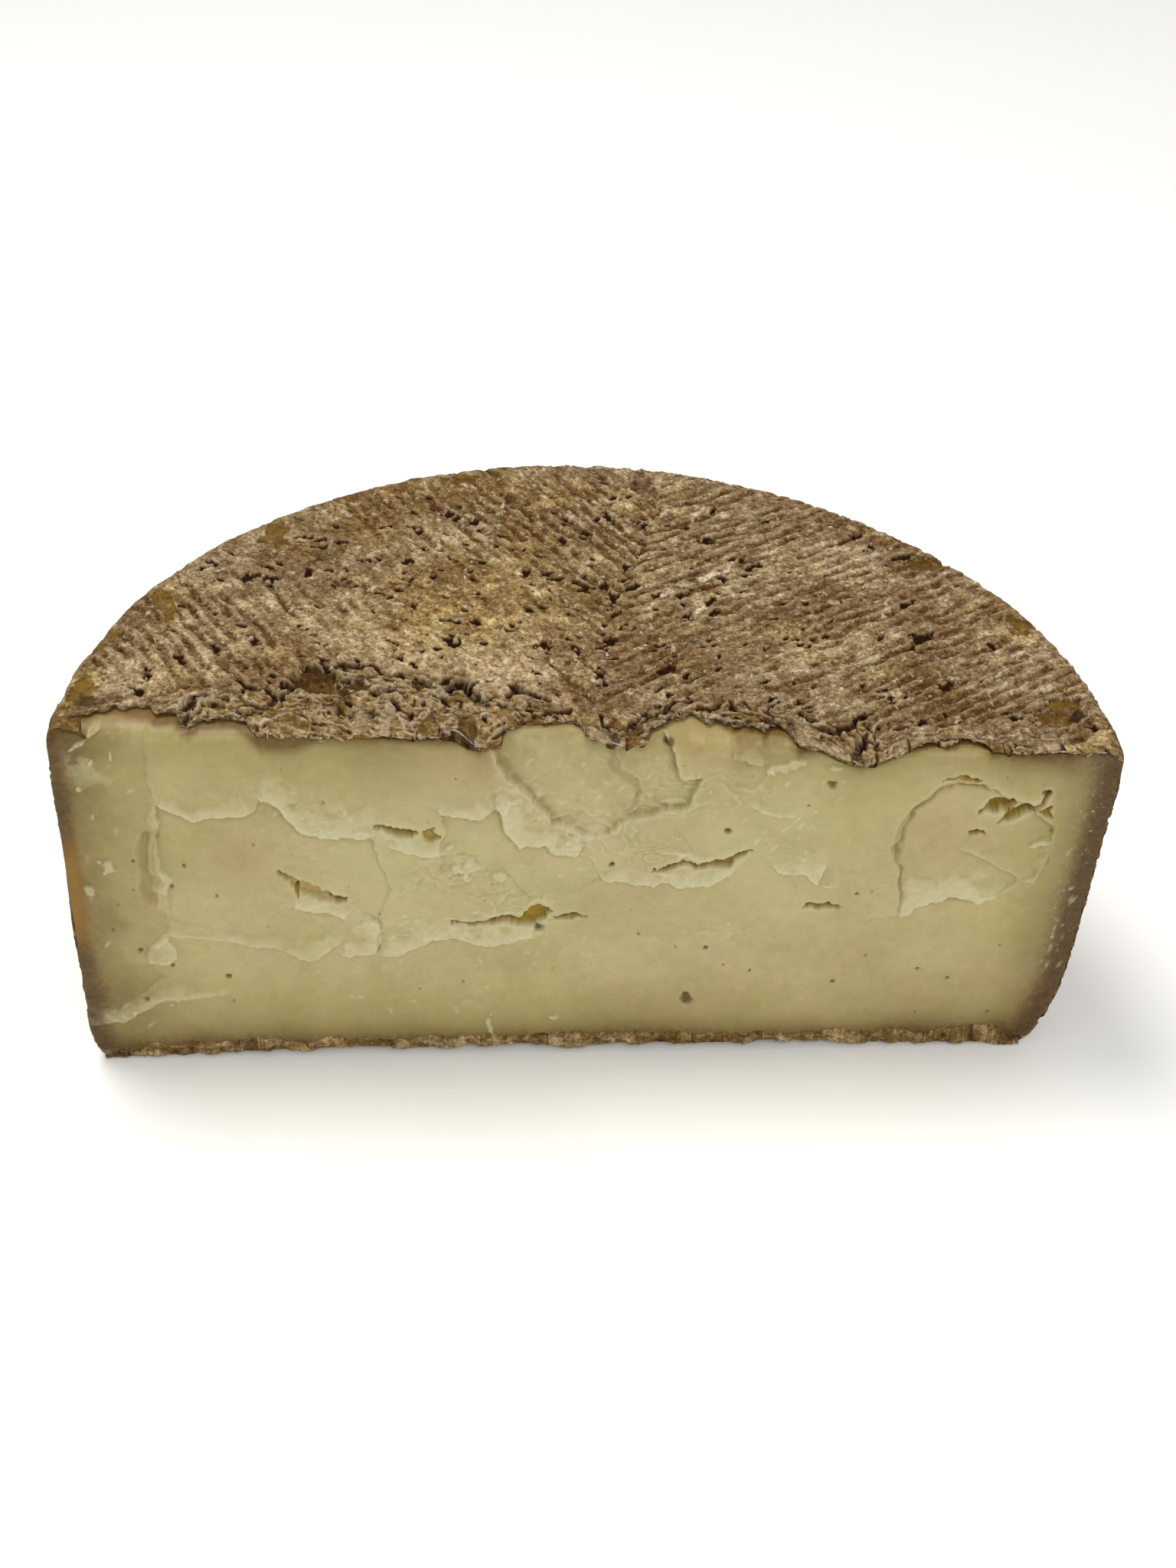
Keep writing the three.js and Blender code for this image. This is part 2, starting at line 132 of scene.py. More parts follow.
def rough(u, v, seed, octaves=3):
    """Unevenness added up over several sizes, each half as large and half as strong."""
    total = 0
    for k in range(octaves):
        total = total + unevenness(u * 2**k + 5.3 * k, v * 2**k, seed + 13 * k) / 2**k
    return total


def pushed(u, v, push, size, seed, octaves):
    """A place pushed about by rough noise, which frays every edge that is read there."""
    return (
        u + push * rough(u / size, v / size, seed, octaves),
        v + push * rough(u / size, v / size, seed + 1, octaves),
    )


def shingles(level, crisp=0.2):
    """Overlapping flakes, from -1 to 0, and how near each point is to a flake's raised edge."""
    share = level - np.floor(level)
    rise = ease(share, 1 - crisp, 1)
    return rise - share, ease(share, 0.35, 0.0)


print("one value of each:", rough(np.array(0.3), np.array(0.7), 1), shingles(np.array(1.4)))

# %% [markdown]
# ## Lines and outlines
#
# Tears, ledges and cracks are drawn as short lists of points, as on a sketch. For every point of
# a mesh we ask how far it is from such a line, on which side, and how far along. A closed outline
# answers how deep inside it a point lies. Small marks are turned ellipses or soft round places.


# %% Distance to a sketched line, outline or place
def to_line(u, v, points):
    """Distance from a line, positive on its left, and the share of the way along it."""
    steps = [math.dist(a, b) for a, b in zip(points, points[1:])]
    nearest = np.full(u.shape, 1e6)
    left = np.ones(u.shape)
    share = np.zeros(u.shape)
    run = 0
    for (u0, v0), (u1, v1), step in zip(points, points[1:], steps):
        du, dv = u1 - u0, v1 - v0
        t = np.clip(((u - u0) * du + (v - v0) * dv) / step**2, 0, 1)
        gap = np.hypot(u - u0 - t * du, v - v0 - t * dv)
        closer = gap < nearest
        nearest = np.where(closer, gap, nearest)
        left = np.where(closer, np.sign(du * (v - v0) - dv * (u - u0)), left)
        share = np.where(closer, (run + t * step) / sum(steps), share)
        run += step
    return nearest * left, share


def inside(u, v, outline):
    """Distance from a closed outline, positive inside it."""
    ring = list(outline) + [outline[0]]
    gap, _ = to_line(u, v, ring)
    crossings = np.zeros(u.shape, dtype=int)
    for (u0, v0), (u1, v1) in zip(ring, ring[1:]):
        if v0 == v1:
            continue
        spans = (v0 > v) != (v1 > v)
        crossings += spans & (u < u0 + (v - v0) * (u1 - u0) / (v1 - v0))
    return np.abs(gap) * np.where(crossings % 2 == 1, 1, -1)


def along_x(points, x):
    """Height of a line of (x, height) points that runs from left to right."""
    return np.interp(x, [p[0] for p in points], [p[1] for p in points])


def turned(u, v, at_u, at_v, turn):
    """Distances from a place, along a direction and across it."""
    du, dv = u - at_u, v - at_v
    return du * math.cos(turn) + dv * math.sin(turn), dv * math.cos(turn) - du * math.sin(turn)


def close_to(u, v, at_u, at_v, reach):
    """Which points lie in the square round a place."""
    return (np.abs(u - at_u) < reach) & (np.abs(v - at_v) < reach)


def soft_place(u, v, at_u, at_v, reach_u, reach_v):
    """1 at a place, fading to 0 around it."""
    away = np.hypot((u - at_u) / reach_u, (v - at_v) / reach_v)
    return np.exp(-(away**2))


def blob(u, v, at_u, at_v, long, wide, degrees, fray):
    """1 inside a turned ellipse, 0 outside; fray moves its edge."""
    along, across = turned(u, v, at_u, at_v, math.radians(degrees))
    return ease(np.hypot(2 * along / long, 2 * across / wide) + fray, 1.15, 0.7)


square = [(0, 0), (9, 0), (9, 9), (0, 9)]
print("a point 1 mm inside:", inside(np.array([1.0]), np.array([5.0]), square))

# %% [markdown]
# ## The outer form
#
# Every mesh takes its place from the same few functions of the wheel: how far out the wall is
# at a height and in a direction, and how high the top is at a place. They repeat the packed
# solid's own rules, so the dressed cheese keeps its form.

# %% Wall and top
SWELL = 1.1
SWELL_SPAN = 78
SEED = 7


def top_surface(x, y):
    return top_plane(x) + SWELL * unevenness(x / SWELL_SPAN + 3, y / SWELL_SPAN, SEED + 1)


def wall_radius(z, side):
    """Radius of the wall about its leaning centre; side runs from -1 at -X to 1 at +X."""
    right = (1 + side) / 2
    corner = blend(CORNER_LEFT[0], CORNER_RIGHT[0], right)
    cut = blend(CORNER_LEFT[1], CORNER_RIGHT[1], right)
    below = np.clip((corner - z) / corner, 0, 1)
    above = np.clip((z - top_plane(BASE_RADIUS * side)) / SHOULDER_HEIGHT + 1, 0, 1)
    inset = cut * (1 - np.sqrt(1 - below**2)) + SHOULDER_INSET * (1 - np.sqrt(1 - above**2))
    return BASE_RADIUS + WALL_FLARE * z - inset


def wall_centre(z):
    return LEAN_AT_BASE + LEAN * z


def wall_x(z, side):
    return wall_centre(z) + side * wall_radius(z, side)


def rim_wobble(angle):
    """How far the rim is worn inwards, in mm, round the wheel."""
    arc = angle * BASE_RADIUS
    return 0.45 + 0.4 * rough(arc / 9, 0 * arc, 21, 3)


print("wall at mid height:", wall_x(50, -1), wall_x(50, 1))

# %% [markdown]
# ## From a grid to a closed piece
#
# Each surface starts as a flat bmesh grid whose corners run from 0 to 1. A shape function turns
# these into places in millimetres and gives some marks, numbers that the materials read later
# as attributes. The open rim of the sheet is then extruded once or twice, behind the surface,
# and the last ring is filled, so the piece is closed and solid.
#
# The mark "hollow" is worked out for every piece: it compares each point with the average of
# its neighbours. The materials darken the dents with it as painted shade, and on the rind as
# dust too, and lighten the crests as a painted highlight, which on the rind is also rubbing.


# %% Make a piece from a grid
# Rounds of smoothing that give the near and the wide average of a point's neighbours.
NEAR_ROUNDS = 6
WIDE_ROUNDS = 36


def add_object(name, data):
    holder = bpy.data.objects.new(name, data)
    bpy.context.scene.collection.objects.link(holder)
    return holder


def smoothed(field, rounds):
    for _ in range(rounds):
        padded = np.pad(field, 1, mode="edge")
        beside = padded[:-2, 1:-1] + padded[2:, 1:-1] + padded[1:-1, :-2] + padded[1:-1, 2:]
        field = (field + beside) / 5
    return field


def to_metres(points):
    moved = points + np.array([*WHEEL_AXIS, 0])
    low, high = (np.array(corner) for corner in cad_box)
    return np.clip(moved * MM, low, high)


def grid_piece(name, columns, rows, shape, tucks):
    """A closed mesh whose seen side is a shaped grid; tucks move its rim behind that side."""
    build = bmesh.new()
    bmesh.ops.create_grid(build, x_segments=columns, y_segments=rows, size=1)
    flat = np.array([vert.co[:2] for vert in build.verts]) / 2 + 0.5
    places, relief, marks = shape(flat[:, 0], flat[:, 1])
    field = relief.reshape(rows + 1, columns + 1)
    average = 0.5 * smoothed(field, NEAR_ROUNDS) + 0.5 * smoothed(field, WIDE_ROUNDS)
    marks["hollow"] = (average - field).ravel()
    for vert, place in zip(build.verts, to_metres(places).tolist()):
        vert.co = place
    rim = [edge for edge in build.edges if edge.is_boundary]
    for edge in rim:
        edge.smooth = False
    for tuck in tucks:
        grown = bmesh.ops.extrude_edge_only(build, edges=rim)["geom"]
        fresh = [item for item in grown if isinstance(item, bmesh.types.BMVert)]
        rim = [item for item in grown if isinstance(item, bmesh.types.BMEdge) and item.is_boundary]
        was = np.array([vert.co[:] for vert in fresh]) / MM - np.array([*WHEEL_AXIS, 0])
        for vert, place in zip(fresh, to_metres(tuck(was)).tolist()):
            vert.co = place
    bmesh.ops.contextual_create(build, geom=rim)
    bmesh.ops.recalc_face_normals(build, faces=build.faces[:])
    closed = all(edge.is_manifold for edge in build.edges)
    mesh = bpy.data.meshes.new(name)
    build.to_mesh(mesh)
    build.free()
    for mark, values in marks.items():
        whole = np.zeros((len(mesh.vertices), *values.shape[1:]), dtype=np.float32)
        whole[: len(values)] = values
        kind, field_name = ("FLOAT", "value") if values.ndim == 1 else ("FLOAT_VECTOR", "vector")
        mesh.attributes.new(mark, kind, "POINT").data.foreach_set(field_name, whole.ravel())
    mesh.shade_smooth()
    piece = add_object(name, mesh)
    triangles = sum(len(face.vertices) - 2 for face in mesh.polygons)
    print(name, "triangles", triangles, "closed", closed)
    return piece


# %% [markdown]
# ## The front edge of the crust
#
# Where the crust is still whole it hangs a little way down over the cut. In two places it tore
# back and left the paste bare, so its front edge wanders between those two states, in lobes
# with sharp notches between them. In three places the crust sagged into the paste.

# %% The crust's edge along the cut
CRUST_EDGE = [
    (-122, 103.6), (-115, 104), (-75, 101.4), (-66, 100.6), (-50, 100), (-45, 101.3), (-31, 101),
    (-27, 98), (-24, 96), (-21, 96), (-19, 99), (-14, 101.2), (-6, 101.6), (0, 99.5), (5, 98),
    (10, 96.4), (14, 97), (45, 97), (50, 96), (54, 94.8), (57, 92), (60, 90.6), (64, 92.4),
    (70, 95), (80, 95.6), (88, 95), (95, 93.6), (108, 93), (122, 92),
]
BARE_EDGE = [
    (-119.5, 3), (-115, 5), (-112, 6.6), (-110, 8.4), (-105.5, 9.4), (-99, 9.4), (-97.5, 6.6),
    (-93, 7.4), (-91.5, 4.4), (-89.5, 3.6), (-87, 5.6), (-80, 5.8), (-78, 4.6), (-76, 2.4),
    (-74, 0), (-20.5, 0), (-19, 3), (-16, 5), (-12, 6.2), (-5, 6.8), (-3, 5), (-1.5, 1),
    (-0.5, 0), (12, 0), (13.5, 4.6), (16, 6.2), (18, 8.8), (22, 10.4), (24, 9), (25.5, 7.6),
    (28, 8.6), (30, 7.8), (31.5, 6.4), (34, 7.4), (37, 6.8), (38.5, 5), (40, 6.8), (43.6, 6),
    (44.6, 4), (45.4, 1), (46, 0), (69, 0), (72, 1), (76, 2.4), (80, 3), (84, 4), (86.5, 4),
    (88, 2), (89.5, 0),
]
SAGS = [(-25, 12, 9, 3.2), (6, 14, 8, 2), (60, 22, 12, 4.2)]
LIP_OUT = 0.9
FARTHEST_OUT = 1.6
RAGGED_HEM = 1.9
RAGGED_LEDGE = 0.5


def lobes(u, seed):
    """Rounded lobes with sharp notches between them, 0 in a notch."""
    return np.abs(rough(u / 5, 0 * u, seed, 2)) + 0.22 * unevenness(u / 1.1, 0 * u, seed + 1)


def is_bare(x):
    return ease(along_x(BARE_EDGE, x), 0.2, 1.6)


def crust_front(x):
    """How far behind the cut the crust starts, and the height its lower edge hangs to."""
    torn = lobes(x, 41)
    bare = is_bare(x)
    front = along_x(BARE_EDGE, x) - LIP_OUT * (1 - bare) - 1.3 * (torn - 0.5) * bare
    hang = blend(along_x(CRUST_EDGE, x), top_plane(x) - CRUST_THICK - 0.5, bare)
    ragged = blend(RAGGED_HEM, RAGGED_LEDGE, bare) * (torn - 0.45)
    return np.maximum(front, -FARTHEST_OUT), np.minimum(hang, top_plane(x) - 1.0) - ragged


def front_sag(x, y):
    """How far the crust sagged into the paste."""
    sag = 0
    for at_x, wide, reach, depth in SAGS:
        away = np.hypot(2 * (x - at_x) / wide, (y + 1) / reach)
        sag = sag + depth * ease(away, 1.1, 0.1)
    return sag


print("crust starts at, and hangs to:", crust_front(np.array([-60.0, 22.0])))

# %% [markdown]
# ## The cut face
#
# The knife went smoothly through the top left, and the rest broke: thin plates lifted out and
# left ledges, lips and slots where the paste had opened. We sketch four kinds of mark:
# breaks are outlines that sank, deeper at their top edge than at their bottom edge; lips are
# lines, drawn from left to right, above which the paste tore outwards; gutters are soft
# channels; slots are openings with a pointed outline.
# Before any distance is taken, the point is pushed about a little by rough noise, which frays
# every edge.

# %% What broke out of the cut face
SCOOP = [
    (-23, 99), (-22, 95), (-21, 92.3), (-19.6, 88), (-16, 84), (-13, 80.5), (-10.3, 77.3),
    (-9.9, 74.4), (-7.4, 74), (-4.4, 73), (-2.3, 71), (0.6, 70), (3, 71.2), (4.5, 72.6),
    (7, 74.8), (11.3, 76), (15.6, 77), (20, 77.3), (22.4, 79.4), (23.4, 83), (24.5, 86.6),
    (20.6, 86.2), (19.5, 87.3), (19.1, 90), (17, 93.7), (15, 97.3), (14, 100),
]
LIFTED_FLAKE = [
    (72, 44), (75, 45), (77, 46.6), (83, 48.7), (91, 47.6), (96, 50.5), (99, 56), (104, 57),
    (106.5, 62), (107, 70), (98, 79), (91, 82.5), (84, 83.4), (79, 81.4), (74, 77), (72, 71),
    (70.3, 63), (72, 55),
]
BELOW_LEFT_LEDGE = [
    (-100, 46), (-75, 38), (-52, 41), (-48, 55), (-50.5, 70), (-57, 71.5), (-63, 71.2),
    (-67.6, 74), (-70, 77.5), (-74, 83), (-78, 77.6), (-85.4, 77), (-92, 76.7), (-99.4, 81),
]
LEFT_STRIP = [
    (-130, 10), (-117, 16.6), (-109, 22.3), (-104, 27.3), (-107.2, 31.6), (-106.9, 35), (-105.4, 38),
    (-102.6, 41.6), (-100, 44.4), (-100.4, 47.3), (-102.2, 50), (-102, 53), (-101.5, 60),
    (-101, 64.4), (-100.4, 68), (-99, 70.5), (-99.4, 73), (-101, 74), (-102, 75.5), (-101, 78),
    (-100, 82), (-100, 87.3), (-99, 95), (-99, 101), (-100, 106), (-130, 106),
]
BESIDE_SCOOP = [
    (-36, 60), (-30, 52), (-10, 51), (2, 56), (0.6, 60), (-3, 65), (-9.6, 65.9), (-11, 68),
    (-17.4, 67.3), (-20.3, 72.3), (-21.7, 79.4), (-26, 76.2), (-34, 77.3),
]
# Each break: outline, depth at its top, depth at its bottom, how scratched its floor is.
BREAKS = [
    (SCOOP, 3.2, 1.6, 0.8),
    (LIFTED_FLAKE, 1.6, 0.3, 0.1),
    (BELOW_LEFT_LEDGE, 1.3, 0.2, 0.05),
    (LEFT_STRIP, 0.55, 0.5, 0.1),
    (BESIDE_SCOOP, 1.2, 0.3, 0.2),
]
# Each lip: lower edge, rise at its left and right end, how far it stands out, how pale it is.
LIPS = [
    ([(-99.4, 81), (-95, 79), (-92, 76.7), (-85.4, 77), (-82, 77.6), (-77, 78.6)], 3, 6, 0.8, 0.7),
    (
        [(-76, 83.2), (-74, 82.6), (-72, 80.5), (-70, 77.4), (-67.6, 74), (-65.4, 72.3),
         (-63.3, 71.2), (-57, 72), (-50, 71)],
        7, 9, 1.1, 0.75,
    ),
    ([(-35.3, 79), (-34, 77.3), (-29, 76.6), (-26, 76.2), (-22.6, 79)], 3, 4, 0.8, 0.9),
    (
        [(-22.4, 82), (-21.6, 77), (-20.3, 72.3), (-18.9, 69), (-17.4, 67.3), (-14.6, 67.3),
         (-11, 68), (-9.6, 65.9), (-6.7, 65), (-4, 65), (-3, 67.5), (-2, 68)],
        7, 7, 1.2, 0.85,
    ),
    ([(-48, 68.6), (-44.6, 66.8), (-37.4, 65), (-34.6, 65.3)], 3.5, 4.5, 0.9, 1.0),
    ([(-71.5, 48.8), (-67, 48), (-63.3, 47.2), (-60.4, 45.9), (-58, 44.6)], 4, 4, 1.0, 1.1),
    (
        [(-60.6, 33.9), (-55.3, 33.3), (-52.1, 35), (-50.8, 39.4), (-51.4, 44.4), (-53, 46)],
        5, 7, 1.0, 0.85,
    ),
    ([(-47.4, 51.6), (-44.6, 53.4), (-43, 55), (-40.6, 56.6), (-39.9, 59)], 3, 3, 0.7, 0.15),
    (
        [(-107.2, 31.6), (-102.6, 31.2), (-100.4, 33), (-99.6, 37), (-102, 41)],
        5, 5, 0.5, 0.75,
    ),
    (
        [(-102, 41), (-95.4, 40), (-89.7, 39.8), (-84, 38.4), (-78.3, 36.9), (-74, 35)],
        2, 3, 0.7, 0.5,
    ),
    ([(-74, 35), (-71, 32.3), (-67, 32.3), (-64, 34.4), (-60.6, 38)], 4, 5, 0.7, 0.7),
    (
        [(-51, 33.5), (-47.4, 33), (-45.3, 33.7), (-42.4, 36), (-40.3, 37.3), (-38.5, 39),
         (-32.4, 38.7), (-29.6, 36.9), (-24, 36.2), (-21.7, 37.3), (-17.4, 37.6), (-13, 38.4)],
        7, 5, 0.9, 0.9,
    ),
    (
        [(0.6, 57), (5, 56.5), (9, 55.5), (12.7, 54.8), (17, 55.3), (22.7, 54.8), (27.7, 55),
         (32, 57.3), (34, 59.6)],
        3, 5.5, 1.0, 0.9,
    ),
    (
        [(41.3, 60.9), (42.7, 58.4), (49, 58), (50.6, 56.6), (52.7, 55.3), (53.2, 58.7),
         (54.2, 61.6)],
        4, 5, 0.7, 0.9,
    ),
    ([(15.6, 64.6), (20, 63.3), (24, 62.6), (27, 62.4)], 2, 1.5, 0.5, 1.0),
    (
        [(72, 44.4), (75, 44.8), (76.7, 46.6), (79.6, 48.4), (83, 48.7), (84.6, 49.8),
         (88.9, 48.7), (91, 47.6), (93, 49.1), (96, 50.5)],
        11, 9, 1.0, 0.95,
    ),
    ([(84.6, 64.4), (87.4, 63), (91.7, 61), (96, 58), (99, 56.2), (102.4, 55.3)], 3, 4, 0.8, 0.25),
    ([(102.4, 55.3), (104, 57.3), (106.4, 62.6), (107, 67)], 2.5, 2.5, 0.7, 0.35),
    (
        [(-120.5, 11.6), (-115.4, 12), (-109.7, 16.6), (-104, 19.3), (-95.4, 19.8), (-89, 22.2)],
        6, 2, 0.2, 0.8,
    ),
    ([(31.5, 92.2), (35, 90.9), (38.4, 91.2)], 2.5, 2, 0.7, 0.3),
    ([(36, 79), (41, 76), (46.5, 76)], 3, 2, 0.6, 0.6),
    ([(-101.8, 54.4), (-100, 54), (-99, 58), (-99.4, 61.5)], 2, 2, 0.5, 0.8),
]
# Each gutter: line, width, depth.
GUTTERS = [
    (
        [(70.6, 61), (70.8, 66), (71.8, 72), (74, 76.6), (78, 81), (83, 83.6), (88, 83), (91.5, 82)],
        3.4, 1.3,
    ),
    ([(72.3, 45), (72.3, 51), (72.3, 55), (71, 61)], 1.2, 0.6),
    ([(3.6, 96), (4, 91), (6.3, 86.6), (9.1, 85), (9.9, 81.6), (9.5, 77.3)], 2.2, 0.8),
    ([(-20.3, 59.4), (-16, 53), (-14.6, 50.4)], 0.8, 0.35),
    ([(18.4, 73), (20.6, 69.4), (22.7, 64.4)], 0.9, 0.3),
    ([(-51, 45), (-51.6, 40), (-51.4, 34)], 0.9, 0.7),
    ([(-103.4, 50), (-104.2, 56), (-104.4, 63), (-103.2, 69), (-101.4, 73.4)], 4, 1.2),
    ([(31, 96), (31.6, 92.5), (36, 90.4)], 1.0, 0.5),
]
# Each slot: outline, depth, how ochre it is inside.
SLOTS = [
    (
        [(-50.2, 75), (-47, 74.9), (-45, 73.2), (-42.4, 72.8), (-40, 72), (-41, 70.4),
         (-44.2, 70.9), (-47.2, 72.5)],
        4.6, 1,
    ),
    ([(-39.2, 72.4), (-37.2, 73.4), (-35.9, 71.1), (-37.1, 69.9), (-38.6, 71)], 2.5, 0.5),
    (
        [(-74.2, 60.6), (-70.5, 58.2), (-66.3, 56.2), (-62, 53.8), (-58.6, 50.1), (-60.5, 49.7),
         (-64, 51.6), (-67.3, 53.1), (-69.5, 54.3)],
        2.2, 0.12,
    ),
    ([(-70.4, 55.4), (-69.4, 56), (-69.6, 52.6)], 3, 0.9),
    ([(-61.6, 52.3), (-58.6, 51.2), (-60.6, 50.2)], 4, 1),
    (
        [(-33.6, 44), (-26, 43.5), (-22.4, 45.5), (-17.4, 44.9), (-16, 47.5), (-13.3, 48.9),
         (-10.1, 46.6), (-12.5, 43.9), (-16.1, 43), (-22, 42.9), (-26.6, 42.7)],
        4.4, 1,
    ),
    ([(-9.8, 44.8), (-6.7, 45.8), (-1.6, 45), (-5, 44.3)], 3, 0.8),
    (
        [(13.4, 58.5), (20.6, 61.4), (23.4, 61.2), (27.7, 62.4), (32.4, 62.9), (34.1, 64.1),
         (37.6, 64.8), (33.4, 62.3), (32.4, 60), (28, 60.3), (22, 60.3)],
        4, 0.9,
    ),
    ([(49, 46.8), (51.3, 48.4), (55.6, 48.8), (58.6, 46.9), (54, 47.6)], 2.6, 0.7),
    (
        [(88.8, 74.6), (91.6, 78.4), (96.5, 79.4), (98.2, 78.6), (96.2, 76), (94.2, 76.7),
         (93.6, 75.4), (92.2, 76.2), (91.2, 76.6)],
        5.6, 1,
    ),
    (
        [(94.4, 71.8), (95.6, 74.4), (97, 75.9), (99.5, 76.5), (101.5, 76.3), (103, 79.1),
         (104.8, 82), (104.2, 78.3), (101.9, 74.9), (98.5, 73.2), (96.1, 71.8)],
        5.6, 1,
    ),
    ([(103.8, 76), (105.5, 77.2), (105.5, 74.4), (104, 74.2)], 3, 1),
    ([(86.6, 69.6), (89, 69.6), (91, 69), (87.4, 68.4)], 2.4, 0.8),
    ([(79.6, 85.2), (84, 86.4), (88, 84.8), (84, 84.6)], 2, 0.7),
]
# Each chip is a curled pale crumb of paste: x, z, length, width, turn.
CHIPS = [
    (-29.5, 60.6, 6, 5, 20), (-33.5, 67.3, 1.8, 1.8, 0), (-112, 62.2, 5.6, 2.6, -25),
    (-117.4, 55.8, 4, 3, -20), (43.8, 90.4, 6, 2.6, 30), (54, 89.6, 3.4, 1.4, 0),
    (-52, 73, 3.4, 3.6, 0), (-6.4, 67.6, 6, 2.6, 10), (40, 88.4, 2, 1, 10), (-22, 58, 2, 3.4, -20),
    (-25.6, 8.6, 1.4, 5, 0), (-10, 12, 3, 1.6, 0), (104, 65.8, 4, 1.4, 15), (57, 46.8, 3, 1, 10),
    (-107.4, 95, 1, 4, -10), (-114, 98.4, 3.4, 1.2, 30), (-111, 100.6, 3.4, 1.4, 30),
    (-112, 93.6, 2, 0.9, 60), (-115.8, 86, 1, 0.9, 0),
]
# Places where the paste is riper and browner than around; those from z = 90 up lie just under
# the crust's edge and paint the shade it casts there: x, z, reach along x and z, strength.
RIPE_AND_SHADE_PLACES = [
    (-112, 55, 10, 40, 0.16), (-113, 22, 12, 16, 0.16), (-111, 100, 8, 6, 0.42),
    (-85, 66, 18, 12, 0.16), (88, 66, 14, 12, 0.1), (-106, 60, 6, 30, 0.06),
    (-60, 90, 40, 8, 0.1), (80, 20, 40, 16, 0.08), (112, 92, 12, 8, 0.45), (78, 93, 12, 5, 0.3),
    (-115, 96, 5, 12, 0.12), (40, 92, 12, 4, 0.15), (-50, 20, 50, 10, 0.04),
    (-120, 14, 6, 16, 0.08), (104, 96, 18, 7, 0.8), (-118, 96, 5, 8, 0.6), (110, 70, 6, 24, 0.1),
]
# How much riper the strip at the left is than the paste beside it.
STRIP_RIPE = 0.2
# Specks that catch the eye: x, z, size.
SPECKS = [
    (-88.3, 27.2, 1.1), (-108.5, 36, 0.9), (-106.6, 64.2, 0.6), (-95, 62.6, 0.6),
    (-88.3, 53.4, 0.6), (-88, 18.9, 0.5), (-101.5, 31, 0.8), (-98.6, 56.5, 0.6), (-13, 41.7, 1.6),
    (4.3, 61.6, 0.9), (31, 71.3, 1.2), (54.1, 84.8, 1.5), (27, 34.9, 0.7), (19.7, 35.1, 0.5),
    (10.8, 39.3, 0.5), (62.3, 51.5, 0.6), (86.7, 23.2, 0.6), (58.5, 22.7, 0.7), (98, 11.2, 0.6),
    (103.6, 81, 1.4), (-114, 43, 0.6), (17, 95, 1.6), (79, 26.6, 0.6), (49, 79, 0.5),
    (23, 17.2, 2), (22.6, 18.8, 1.2), (-109, 20, 0.9), (66, 31, 0.5), (38, 27, 0.5),
]
print(len(BREAKS), "breaks,", len(LIPS), "lips,", len(SLOTS), "slots,", len(CHIPS), "chips")

# %% [markdown]
# The next functions add the marks up. "torn" is the chalky skin of freshly torn paste, "slot"
# the ochre inside of an opening, "shade" the painted shade under the roof of an opening, and
# "ripe_and_shade" grows towards the rind, where the paste dries and browns: fast under the top
# crust, slowly above the base. It also holds painted shade, which darkens the bare ledge and the
# face just under the crust's edge as the crust would shade them.


# %% Ripeness, painted shade under the crust, and small marks
# The distance to each edge of the face, and the distance that the paste takes it for.
TOP_NEARNESS = [(-1, 0), (0, 2), (1.5, 5), (4, 10), (12, 17), (30, 30)]
BASE_NEARNESS = [(4, 3.5), (7, 6.2), (8, 7.8), (10, 10.2), (15, 16), (30, 30)]
LEFT_NEARNESS = [(0, 0), (2, 3), (4.5, 9), (12, 15), (25, 27)]
RIGHT_NEARNESS = [(0, 0), (4, 1.5), (7, 5.8), (11, 10.4), (17, 17), (28, 27)]
RIPE_AND_SHADE_BY_DISTANCE = [(1, 1), (3.4, 0.92), (6, 0.76), (11, 0.5), (16, 0.24), (27, 0)]
# How softly the four distances run into one another in the corners.
CORNER_SOFT = 2.2
# Amber places: x, where they fade out and are full along x, strength, what they follow, and
# where they start and are full along that.
AMBER_PLACES = [
    (-55, (8, 4), 1, "below the crust", (3.4, 0.6)),
    (21, (8, 2), 0.15, "height", (91, 97)),
    (-11, (9, 4), 0.6, "behind the cut", (2.5, 5.5)),
    (-101.6, (8, 2), 0.3, "behind the cut", (3, 7)),
]


